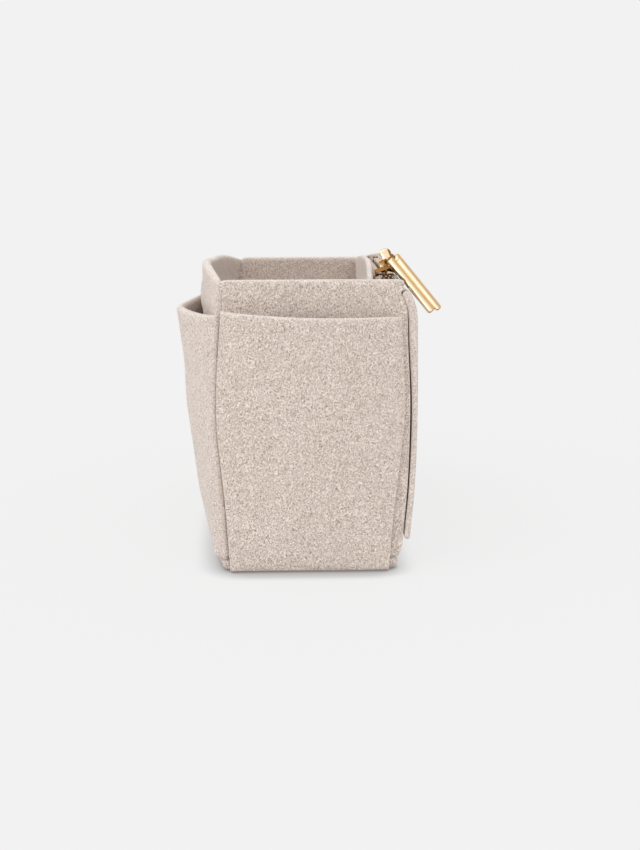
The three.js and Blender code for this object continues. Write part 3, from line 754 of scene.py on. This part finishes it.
def edit(piece, test, operator, **settings):
    """Runs an edit-mode operator on the points of piece, in mm, that pass test."""
    choose(piece)
    mesh = piece.data
    for polygon in mesh.polygons:
        polygon.select = False
    for line in mesh.edges:
        line.select = False
    for point in mesh.vertices:
        point.select = bool(test(*(piece.matrix_world @ point.co / MM)))
    bpy.context.tool_settings.mesh_select_mode = (True, False, False)
    bpy.ops.object.mode_set(mode="EDIT")
    operator(**settings)
    bpy.ops.object.mode_set(mode="OBJECT")


def everywhere(x, y, z):
    return True


print("edit helpers:", [helper.__name__ for helper in (choose, edit, everywhere)])

# %% Blocks and rods
def block(name, low, high):
    """A cube between two corners in mm, with its size applied."""
    low, high = np.array(low, float), np.array(high, float)
    bpy.ops.mesh.primitive_cube_add(size=1, location=(low + high) / 2 * MM)
    piece = bpy.context.object
    piece.name = name
    piece.scale = (high - low) * MM
    bpy.ops.object.transform_apply(location=True, rotation=True, scale=True)
    return piece


def rod(name, radius, start, end, axis, sides=40):
    """A cylinder from start to end, points in mm, along x, y or z."""
    start, end = np.array(start), np.array(end)
    middle, length = (start + end) / 2, np.abs(end - start).sum()
    turn = {"x": (0, math.pi / 2, 0), "y": (math.pi / 2, 0, 0), "z": (0, 0, 0)}[axis]
    bpy.ops.mesh.primitive_cylinder_add(vertices=sides, radius=radius * MM, depth=length * MM,
                                        location=middle * MM, rotation=turn)
    piece = bpy.context.object
    piece.name = name
    bpy.ops.object.transform_apply(location=True, rotation=True, scale=True)
    return piece


print("primitives:", [helper.__name__ for helper in (block, rod)])

# %% Join, round, copy and move
def joined(name, *pieces):
    choose(*pieces)
    if len(pieces) > 1:
        bpy.ops.object.join()
    pieces[0].name = pieces[0].data.name = name
    return pieces[0]


def softened(piece, width, finish, angle=32):
    """Rounds the sharp edges, shades the rest smooth and gives the finish."""
    choose(piece)
    bevel = piece.modifiers.new("rounding", "BEVEL")
    bevel.width, bevel.segments, bevel.angle_limit = width * MM, 2, math.radians(angle)
    bpy.ops.object.modifier_apply(modifier=bevel.name)
    bpy.ops.object.shade_smooth_by_angle(angle=math.radians(angle))
    piece.data.materials.clear()
    piece.data.materials.append(finish)
    return piece


def copied(piece):
    """A copy of a piece with its own mesh."""
    copy = piece.copy()
    copy.data = piece.data.copy()
    bpy.context.scene.collection.objects.link(copy)
    return copy


def moved(piece, matrix):
    """Carries a piece drawn in its own frame to its place and applies the move."""
    piece.matrix_world = matrix
    choose(piece)
    bpy.ops.object.transform_apply(location=True, rotation=True, scale=True)
    return piece


ZIP_FRAME = Matrix.Translation(Vector((ZIP_X, ZIP_Y, ZIP_Z)) * MM) @ Matrix.Rotation(-ZIP_SKEW, 4, "Z")
print("zip frame at", [round(1000 * x, 1) for x in ZIP_FRAME.translation])

# %% [markdown]
# ## Corner stitches
# The two near corners are held by a few stitches laid one above the other across the seam. They could be
# painted on, but a thread catches the light at its rounded side. One stitch is a short rod, bent back and
# thinned at its ends where it dives into the felt, and the rest are copies of it, each at its own tilt.

# %% Stitches
STITCH_RADIUS, STITCH_HALF, STITCH_FLAT, STITCH_DIVE = 0.26, 0.8, 0.45, 0.35
# Where each stitch lies: x, z and its tilt
TACKS = [(-32.0, 107.9, 0.35), (-31.5, 108.5, -0.3), (-32.1, 109.1, 0.2), (-31.4, 109.7, -0.4),
         (-31.9, 110.3, 0.3), (-31.0, 110.6, -0.2), (33.8, 107.2, -0.4), (34.1, 107.8, 0.3),
         (33.8, 108.4, -0.2)]


def thread_finish():
    material, shader, place = new_finish("thread", Roughness=0.6, Sheen_Weight=0.3)
    twist = place.stretched((0.0004, 0.0004, 0.0004), (0, 0, 0.7))
    ply = place.node("ShaderNodeTexWave", {"Vector": twist, "Scale": 1.0, "Distortion": 0.4})
    wire(ply.blend(linear(214, 200, 188), linear(250, 244, 238)), shader, "Base Color")
    return material


def model_stitch():
    stitch = rod("stitch", STITCH_RADIUS, (-STITCH_HALF, 0, 0), (STITCH_HALF, 0, 0), "x", 12)
    for x in (-STITCH_FLAT, STITCH_FLAT):
        edit(stitch, everywhere, bpy.ops.mesh.bisect, plane_co=(x * MM, 0, 0), plane_no=(1, 0, 0))
    edit(stitch, lambda x, y, z: abs(x) > 0.7, bpy.ops.transform.translate, value=(0, STITCH_DIVE * MM, 0))
    for side in (1, -1):
        edit(stitch, lambda x, y, z: side * x > 0.7, bpy.ops.transform.resize, value=(1, 0.6, 0.6))
    return softened(stitch, 0.06, thread_finish())


stitch = model_stitch()
copies = []
for x, z, tilt in TACKS:
    place = Vector((x, -HALF_LENGTH - 0.2, z)) * MM
    copies.append(moved(copied(stitch), Matrix.Translation(place) @ Matrix.Rotation(tilt, 4, "Y")))
bpy.data.objects.remove(stitch)
stitches = joined("corner_stitches", *copies)
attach(stitches, "root")
print("stitches:", len(TACKS))

# %% [markdown]
# ## Zip tapes
# Each half of the zip is a woven tape with a thick bead on its inner edge that the teeth grip. The tape
# lies level beside the teeth and folds down against the felt that it is sewn to. It is soft, so it is
# swept as a ribbon along the zip rather than cut from a block.

# %% Tape finish
def tape_finish():
    material, shader, place = new_finish("woven_tape", Sheen_Weight=0.2, Roughness=0.9)
    across = place.stretched((0.0011, 0.0011, 0.0011), (0, 0, 0.9))
    weave = place.node("ShaderNodeTexWave", {"Vector": across, "Scale": 1.0, "Distortion": 0.6})
    speck = place.noise(1500.0, 2.0, 0.6)
    tone = (weave * 0.5 + speck * 0.5).steps(0.25, 0.75)
    wire(tone.blend(linear(178, 162, 148), linear(222, 209, 198)), shader, "Base Color")
    bump = place.node("ShaderNodeBump", {"Strength": 0.4, "Distance": 0.0002, "Height": weave})
    wire(bump, shader, "Normal")
    return material


woven = tape_finish()
print("tape nodes:", len(woven.node_tree.nodes))

# %% Tapes
TAPE_NEAR, TAPE_FAR, TAPE_STATIONS = -8.1, 151.9, 120
TAPE_WAVE = 0.03
# Points across the tape: x, z and half its thickness there
TAPE_BEAD = [(2.35, 0.0, 0.35), (2.5, 0.0, 0.62), (2.85, 0.0, 0.72), (3.2, 0.0, 0.62), (3.45, 0.0, 0.3)]
TAPE_SHOULDER = [(3.8, -0.03, 0.24), (4.1, -0.18, 0.2), (4.33, -0.5, 0.2), (4.45, -0.85, 0.2),
                 (4.6, -1.3, 0.24)]
TAPE_FLAP = [(4.72, -2.0, 0.3), (4.8, -3.0, 0.3), (4.8, -5.5, 0.3), (4.8, -8.6, 0.3)]


def tape_section():
    """Middle line of the tape across the zip, and the outline round it."""
    line = np.array(TAPE_BEAD + TAPE_SHOULDER + TAPE_FLAP)
    centre, halves = line[:, :2], line[:, 2:]
    ahead = unit(np.gradient(centre, axis=0))
    normal = np.stack([-ahead[:, 1], ahead[:, 0]], axis=1)
    return centre, np.vstack([centre + normal * halves, (centre - normal * halves)[::-1]])


def tape_mesh(name, side):
    """The section swept along the zip as a ribbon, with the tape's slight waviness."""
    centre, outline = tape_section()
    size = len(outline)
    vertices = []
    for y in np.linspace(TAPE_NEAR, TAPE_FAR, TAPE_STATIONS):
        lift = TAPE_WAVE * (math.sin(0.31 * y) + math.sin(0.13 * y + 1))
        vertices += [(side * x, y, z + lift * (z > -1)) for x, z in outline]
    last = (TAPE_STATIONS - 1) * size
    faces = [tuple(range(size)), tuple(range(last, last + size))[::-1]]
    for r in range(TAPE_STATIONS - 1):
        for k in range(size):
            after = (k + 1) % size
            faces.append((r * size + k, (r + 1) * size + k, (r + 1) * size + after, r * size + after))
    mesh = bpy.data.meshes.new(name)
    mesh.from_pydata([tuple(MM * c for c in v) for v in vertices], [],
                     faces if side > 0 else [face[::-1] for face in faces])
    mesh.polygons.foreach_set("use_smooth", [len(p.vertices) == 4 for p in mesh.polygons])
    mesh.materials.append(woven)
    tape = bpy.data.objects.new(name, mesh)
    bpy.context.scene.collection.objects.link(tape)
    width = np.linalg.norm(np.diff(centre, axis=0), axis=1).sum()
    return moved(tape, ZIP_FRAME), width * MM


for place_name, side, felt_side in (("inner", -1, "right_wall"), ("outer", 1, "zip_pocket_panel")):
    tape, width = tape_mesh(f"woven_tape_{place_name}", side)
    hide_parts(f"zip_tape_{place_name}")
    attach(tape, "root")
    print(tape.name, "width", round(1000 * width, 1), "mm")

# %% [markdown]
# ## Teeth
# A metal tooth is a small clasp: it is squeezed round the tape's bead, narrows to a neck and ends in a
# head with a bump on top. An Array modifier could repeat it, but copies are easier to turn and to join. One
# tooth is shaped from a block and copied along each tape, and the two rows sit half a pitch apart.

# %% Teeth
PITCH, TEETH, FIRST_TOOTH = 2.6, 56, -6.5


def model_tooth():
    tooth = block("tooth", (1.0, -0.75, -0.9), (3.0, 0.75, 0.9))
    for x in (1.75, 2.3):
        edit(tooth, everywhere, bpy.ops.mesh.bisect, plane_co=(x * MM, 0, 0), plane_no=(1, 0, 0))
    edit(tooth, lambda x, y, z: x > 2.2 and x < 2.4, bpy.ops.transform.resize, value=(1, 0.72, 0.85))
    edit(tooth, lambda x, y, z: x < 1.1, bpy.ops.transform.resize, value=(1, 0.62, 0.7))
    edit(tooth, lambda x, y, z: z > 0.6 and x < 1.9, bpy.ops.mesh.inset, thickness=0.22 * MM)
    edit(tooth, everywhere, bpy.ops.mesh.bevel, offset=0.14 * MM, segments=2)
    return softened(tooth, 0.02, brass, 40)


tooth = model_tooth()
for place_name, side, shift in (("inner", -1, 0.5), ("outer", 1, 1.0)):
    turn = Matrix.Rotation(math.pi if side < 0 else 0.0, 4, "Z")
    places = [Matrix.Translation((0, (FIRST_TOOTH + (k + shift) * PITCH) * MM, 0)) for k in range(TEETH)]
    copies = [moved(copied(tooth), place @ turn) for place in places]
    row = moved(joined(f"teeth_{place_name}", *copies), ZIP_FRAME)
    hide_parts(f"zip_teeth_{place_name}")
    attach(row, "root")
    print(row.name, len(row.data.polygons), "faces")
bpy.data.objects.remove(tooth)

# %% [markdown]
# ## Stops
# A stop is a strip of metal crimped over the end of the chain. A plain block would read as a bead, so the
# block is cut across and pinched at every second cut, which shows as crimp marks. In the mouth of the zip the
# ends of the crimped wires glint, and those are small nubs, shaped once and copied.

# %% Stops
STOP, STOP_HALF = 1.3, 1.5
BOTTOM_Y = -6.8
TOP_Y = PITCH * (TEETH + 0.5) + FIRST_TOOTH + GAP
# Where each nub sits: x and z
NUBS = [(-2.7, -0.5), (-2.0, 0.35), (-1.9, -0.9), (-1.2, -0.2), (-0.5, 0.5), (-0.3, -0.8), (0.5, -0.1),
        (1.0, 0.7), (1.2, -0.9), (1.9, 0.1)]
NUB_Y = -8.15


def model_stop(name, left, right, near, ribs):
    """A clamp with crimp marks: every second strip across its width is pressed in."""
    stop = block(name, (left, near, -STOP_HALF), (right, near + STOP, STOP_HALF))
    cuts = [left + k * (right - left) / ribs for k in range(1, ribs)]
    for x in cuts:
        edit(stop, everywhere, bpy.ops.mesh.bisect, plane_co=(x * MM, 0, 0), plane_no=(1, 0, 0))
    for x in cuts[::2]:
        edit(stop, lambda px, y, z: abs(px - x) < 0.05, bpy.ops.transform.resize, value=(1, 0.55, 0.7))
    # The crimp takes the near-black metal: painted shade, as in the mouth of the zip.
    return softened(stop, 0.1, mouth)


def model_nubs():
    """The ends of the crimped wires in the mouth: one small nub, shaped once and copied."""
    nub = block("nub", (-0.35, -0.3, -0.35), (0.35, 0.3, 0.35))
    edit(nub, everywhere, bpy.ops.mesh.bevel, offset=0.16 * MM, segments=2)
    edit(nub, lambda x, y, z: y < 0, bpy.ops.transform.resize, value=(0.7, 1, 0.7))
    softened(nub, 0.03, gold)
    copies = []
    for x, z in NUBS:
        turn = Matrix.Rotation(x + 2 * z, 4, "Y")
        copies.append(moved(copied(nub), Matrix.Translation(Vector((x, NUB_Y, z)) * MM) @ turn))
    bpy.data.objects.remove(nub)
    return copies


stops = [
    model_stop("crimp_top_inner", -3.2, -1.0, TOP_Y, 2),
    model_stop("crimp_top_outer", 1.0, 3.2, TOP_Y, 2),
    model_stop("crimp_bottom", -1.9, 1.9, BOTTOM_Y - STOP, 6),
]
stops[2] = joined("crimp_bottom", stops[2], *model_nubs())
for stop, node in zip(stops, ("top_stop_inner", "top_stop_outer", "bottom_stop")):
    moved(stop, ZIP_FRAME)
    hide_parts(node)
    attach(stop, "root")
print("stops:", [stop.name for stop in stops])

# %% [markdown]
# ## Slider
# Two plates with turned flanges run on the rows, and a post in the mouth parts them. The top plate is a
# shallow roof. A strap rises from it, bends forward and ends in a rounded tongue; the pin between the
# strap and the tongue carries the pull. A real slider is cast in one, and it could be sculpted as one mesh,
# but each feature is easier to shape and to change as its own block: the bend is spun, the roof is a raised
# ridge, and the saddle under the hook is a block drawn out into two wings.

# %% Plates and roof
PIN_X, PIN_Z, EYE_Y = -0.6, 9.0, -8.8
PLATE_HALF_WIDTH, PLATE_HALF_LENGTH = 4.2, 6.5
RIDGE_X = 0.9


def model_plate(name, low, high):
    wide, long = PLATE_HALF_WIDTH, PLATE_HALF_LENGTH
    plate = block(name, (-wide, -long, low), (wide, long, high))
    edit(plate, everywhere, bpy.ops.mesh.bisect, plane_co=(RIDGE_X * MM, 0, 0), plane_no=(1, 0, 0))
    edit(plate, everywhere, bpy.ops.mesh.bisect, plane_co=(0, -1.5 * MM, 0), plane_no=(0, 1, 0))
    edit(plate, lambda x, y, z: abs(x) > 4 and y > 6, bpy.ops.mesh.bevel, offset=1.2 * MM, segments=3)
    edit(plate, lambda x, y, z: abs(x) < 1 and y > 6, bpy.ops.transform.translate, value=(0, -0.9 * MM, 0))
    return plate


def model_roof():
    """The top plate; its nose is raised to a ridge, level on the left and falling to the right."""
    roof = model_plate("top_plate", 1.4, 2.3)
    ridge = lambda x, y, z: abs(x - RIDGE_X) < 0.05
    nose = lambda x, y, z: ridge(x, y, z) and y < -6
    left = lambda x, y, z: x < -4 and y < -6 and z > 2
    right = lambda x, y, z: x > 4 and y < -6
    for part, height in ((ridge, 0.6), (nose, 1.4), (left, 0.9), (right, -0.2)):
        edit(roof, part, bpy.ops.transform.translate, value=(0, 0, height * MM))
    return roof


print("pin at", PIN_X, EYE_Y, PIN_Z, "mm on the slider")

# %% Hook and saddle
def model_strap():
    strap = block("strap", (PIN_X - 1.7, 3.0, 2.2), (PIN_X + 1.7, 4.4, 6.3))
    edit(strap, lambda x, y, z: z > 6, bpy.ops.mesh.spin, steps=6, angle=math.pi / 2,
         center=(0, 1.0 * MM, 6.3 * MM), axis=(1, 0, 0))
    edit(strap, lambda x, y, z: abs(y - 1.0) < 0.05 and z > 7, bpy.ops.mesh.extrude_region_move,
         TRANSFORM_OT_translate={"value": (0, -8.3 * MM, 0)})
    edit(strap, lambda x, y, z: y > 2.9 and z < 6.4, bpy.ops.transform.resize, value=(0.35, 1, 1))
    return strap


def model_tongue():
    tongue = block("tongue", (PIN_X - 1.9, -11.3, PIN_Z - 1.6), (PIN_X + 0.95, -10.3, PIN_Z + 2.0))
    edit(tongue, lambda x, y, z: z > PIN_Z, bpy.ops.mesh.bevel, offset=0.6 * MM, segments=4, affect="EDGES")
    edit(tongue, everywhere, bpy.ops.transform.rotate, value=math.radians(22), orient_axis="Y",
         center_override=(PIN_X * MM, -10.8 * MM, PIN_Z * MM))
    return tongue


def model_saddle():
    saddle = block("saddle", (PIN_X - 0.5, -6.4, 2.4), (PIN_X + 1.0, -5.0, 6.7))
    middle = PIN_X + 0.25
    edit(saddle, everywhere, bpy.ops.mesh.bisect, plane_co=(0, 0, 5.0 * MM), plane_no=(0, 0, 1))
    edit(saddle, lambda x, y, z: z < 3, bpy.ops.transform.resize, value=(0.5, 1, 1))
    edit(saddle, lambda x, y, z: z > 5, bpy.ops.transform.translate, value=(0, 0.9 * MM, 0))
    for side in (-1, 1):
        wing = lambda x, y, z: side * (x - middle) > 0.6 and z > 4.8
        tip = lambda x, y, z: side * (x - middle) > 2.0
        edit(saddle, wing, bpy.ops.mesh.extrude_region_move,
             TRANSFORM_OT_translate={"value": (side * 1.9 * MM, 0.3 * MM, -0.4 * MM)})
        edit(saddle, tip, bpy.ops.transform.resize, value=(1, 0.6, 0.3))
    return saddle


print("hook: strap, tongue and saddle")

# %% Slider
def model_flange(side, level_side):
    x = sorted((side * 3.5, side * PLATE_HALF_WIDTH))
    z = sorted((level_side * 0.7, level_side * 1.95))
    flange = block("flange", (x[0], -4.8, z[0]), (x[1], 4.8, z[1]))
    edit(flange, lambda x, y, z: abs(z) < 1, bpy.ops.transform.resize, value=(1, 0.94, 1))
    return flange


def model_post():
    post = block("post", (-0.7, 1.4, -1.95), (0.7, 4.9, 1.95))
    edit(post, lambda x, y, z: y < 2, bpy.ops.transform.resize, value=(0.25, 1, 1))
    return post


def model_slider():
    body = [model_roof(), model_plate("under_plate", -2.5, -1.4), model_saddle()]
    body += [model_flange(side, level_side) for side in (-1, 1) for level_side in (-1, 1)]
    # The slider's body takes the darker copy of the gold: painted shade.
    lower = softened(joined("slider_body", *body, model_post()), 0.14, gold_in_shade)
    upper = softened(joined("hook", model_strap(), model_tongue()), 0.16, gold)
    pin = softened(rod("pin", 0.75, (PIN_X, -10.8, PIN_Z), (PIN_X, -6.8, PIN_Z), "y", 24), 0.08, gold)
    return joined("slider_body", lower, upper, pin)


slider = moved(model_slider(), ZIP_FRAME)
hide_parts("zip_slider")
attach(slider, "slider")
print("slider faces:", len(slider.data.polygons))

# %% [markdown]
# ## Pull
# The pull is a bar of two round lobes side by side, the lower one larger, with a flat web between them, and
# an eye that hangs on the slider's pin. One extruded profile would give the bar but not its rounded ends, so
# a lobe is a cylinder with its ends rounded by a bevel; the upper one has a turned groove below its head. The
# eye is a disc with both faces inset and bridged into a hole.

# %% Pull
PULL_REST = math.radians(50.5)
BAR_START, BAR_END, BAR_OFFSET = 2.2, 27.6, 0.85
LOBE_UNDER, LOBE_OVER, BAR_DEEP = 1.7, 1.25, 5.4
LOBE_ROUND, GROOVE, GROOVE_HALF = 0.9, BAR_START + 2.5, 0.3
EYE_RADIUS, EYE_HALF, EYE_WALL = 1.8, 1.2, 0.8


def model_lobe(name, radius, z, start, finish):
    lobe = rod(name, radius, (start, 0, z), (finish, 0, z), "x", 48)
    for end in (start, finish):
        at_end = lambda x, y, z: abs(x - end) < 0.05
        edit(lobe, at_end, bpy.ops.mesh.bevel, offset=LOBE_ROUND * MM, segments=6)
    return lobe


def groove(lobe):
    for x in (GROOVE - GROOVE_HALF, GROOVE, GROOVE + GROOVE_HALF):
        edit(lobe, everywhere, bpy.ops.mesh.bisect, plane_co=(x * MM, 0, 0), plane_no=(1, 0, 0))
    edit(lobe, lambda x, y, z: abs(x - GROOVE) < 0.05, bpy.ops.transform.resize, value=(1, 0.75, 0.75))
    return lobe


def model_eye():
    eye = rod("eye", EYE_RADIUS, (0, -EYE_HALF, 0), (0, EYE_HALF, 0), "y", 32)
    edit(eye, everywhere, bpy.ops.mesh.dissolve_limited, angle_limit=0.001)
    edit(eye, everywhere, bpy.ops.mesh.select_all, action="DESELECT")
    for face in eye.data.polygons:
        face.select = len(face.vertices) > 8
    bpy.context.tool_settings.mesh_select_mode = (False, False, True)
    bpy.ops.object.mode_set(mode="EDIT")
    bpy.ops.mesh.inset(thickness=EYE_WALL * MM)
    bpy.ops.mesh.bridge_edge_loops()
    bpy.ops.object.mode_set(mode="OBJECT")
    return eye


def model_pull():
    low, high = BAR_OFFSET - BAR_DEEP / 2, BAR_OFFSET + BAR_DEEP / 2
    under = model_lobe("lobe_under", LOBE_UNDER, low + LOBE_UNDER, BAR_START, BAR_END)
    over = groove(model_lobe("lobe_over", LOBE_OVER, high - LOBE_OVER, BAR_START + 0.5, BAR_END + 1.1))
    web = block("web", (BAR_START + 1.2, -0.95, BAR_OFFSET - 0.9), (BAR_END - 0.8, 0.95, BAR_OFFSET + 0.9))
    edit(web, lambda x, y, z: x < BAR_START + 2, bpy.ops.transform.resize, value=(1, 0.8, 0.9))
    neck = block("neck", (1.4, -1.1, BAR_OFFSET - 1.7), (3.6, 1.1, BAR_OFFSET + 1.2))
    edit(neck, lambda x, y, z: x < 2, bpy.ops.transform.resize, value=(1, 1, 0.75))
    lobes = [softened(piece, 0.05, gold, 40) for piece in (under, over)]
    # The neck and eye take the darker copy of the gold: painted shade.
    head = [softened(piece, 0.2, gold_in_shade, 40) for piece in (neck, model_eye())]
    return joined("pull_bar", *lobes, softened(web, 0.2, gold, 40), *head)


pull_place = Matrix.Translation(Vector((PIN_X, EYE_Y, PIN_Z)) * MM) @ Matrix.Rotation(PULL_REST, 4, "Y")
pull = moved(model_pull(), ZIP_FRAME @ pull_place)
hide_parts("zip_pull")
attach(pull, "pull")
print("pull faces:", len(pull.data.polygons))

# %% [markdown]
# ## Floor
# The photograph has a plain pale ground with only a close soft shadow under the base. A floor lit by lamps
# alone would shade off across the picture, so the ground gives off most of its own paleness and takes only a
# share from the lamps. Two Ambient Occlusion nodes darken what it gives off: a longer one for the soft shadow
# and a very short one for the thin line where the base touches. Their normal leans away from the camera, so
# the shadow lies on the near side.

# %% Floor
PALE = linear(242, 242, 242)
AMBIENT, SUN, SUN_SHARE = 1.045, 0.70, 0.24
GROUND_GLOW = 0.85
FLOOR_SIZE = 30
SHADOW_REACH, CONTACT_REACH = 0.0105, 0.003
SHADOW, CONTACT = linear(184, 183, 182), linear(128, 120, 115)

bpy.ops.mesh.primitive_plane_add(size=FLOOR_SIZE, location=(0, 0, 0))
floor = bpy.context.object
floor.name = "floor"
floor_finish, floor_shader, _ = new_finish("floor", Roughness=1.0, Specular_IOR_Level=0.0)
lamp_share = (1 - GROUND_GLOW) / (AMBIENT + SUN * SUN_SHARE)
floor_shader.inputs["Base Color"].default_value = tuple(c * lamp_share for c in PALE[:3]) + (1.0,)
ground = Thread(floor_finish.node_tree, None)
leaning = ground.node("ShaderNodeCombineXYZ", {0: 0.0, 1: 0.7, 2: 0.714})


def openness(reach):
    """1 where nothing stands within reach of the ground, less the closer it is covered."""
    inputs = {"Distance": reach, "Normal": leaning}
    return ground.node("ShaderNodeAmbientOcclusion", inputs, output="AO", samples=16)


shaded = openness(SHADOW_REACH).steps(0.3, 1.0).blend(SHADOW, PALE)
wire(openness(CONTACT_REACH).steps(0.15, 0.75).blend(CONTACT, shaded), floor_shader, "Emission Color")
floor_shader.inputs["Emission Strength"].default_value = GROUND_GLOW
floor.data.materials.append(floor_finish)
floor.visible_glossy = False
print("floor glows at", GROUND_GLOW)

# %% [markdown]
# ## Light
# An even bright surround with one broad lamp overhead gives the felt its shade. Polished metal needs
# something to mirror, and a white surround would leave it flat. Cards could be set up round it, but they
# would also light the felt, so the surround shows warm light and dark sides to mirrored rays alone.

# %% Surround and lamp
world = bpy.data.worlds.new("studio")
bpy.context.scene.world = world
world.use_nodes = True
backdrop = world.node_tree.nodes["Background"]
sky = Thread(world.node_tree, None)
camera_ray = sky.node("ShaderNodeLightPath", output="Is Camera Ray")
glossy_ray = sky.node("ShaderNodeLightPath", output="Is Glossy Ray")
toward = sky.node("ShaderNodeTexCoord", output="Generated")


def nearness_to(x, y, z):
    """How nearly a ray runs along a direction."""
    return sky.node("ShaderNodeVectorMath", {0: toward, 1: (x, y, z)}, output=1, operation="DOT_PRODUCT")


front, behind = nearness_to(-0.60, -0.72, -0.35), nearness_to(-0.45, 0.55, -0.70)
mirrored = front.steps(-0.25, 0.70).blend(linear(214, 184, 146), linear(255, 248, 236))
mirrored = behind.steps(0.2, 0.8).blend(mirrored, linear(130, 92, 54))
shine = 1.04 + front.steps(0.80, 0.96) * 0.9
wire(glossy_ray.blend((1.0, 1.0, 1.0, 1.0), mirrored), backdrop, "Color")
wire(camera_ray * (PALE[0] - AMBIENT) + glossy_ray * (shine - AMBIENT) + AMBIENT, backdrop, "Strength")

lamp_data = bpy.data.lights.new("overhead", "SUN")
lamp_data.energy = SUN
lamp_data.angle = math.radians(70)
lamp = bpy.data.objects.new("overhead", lamp_data)
lamp.rotation_euler = (math.radians(24), math.radians(-36), 0)
bpy.context.scene.collection.objects.link(lamp)

bpy.context.scene.view_settings.view_transform = "Standard"
print("lamp energy", SUN, "surround", AMBIENT)

# %% [markdown]
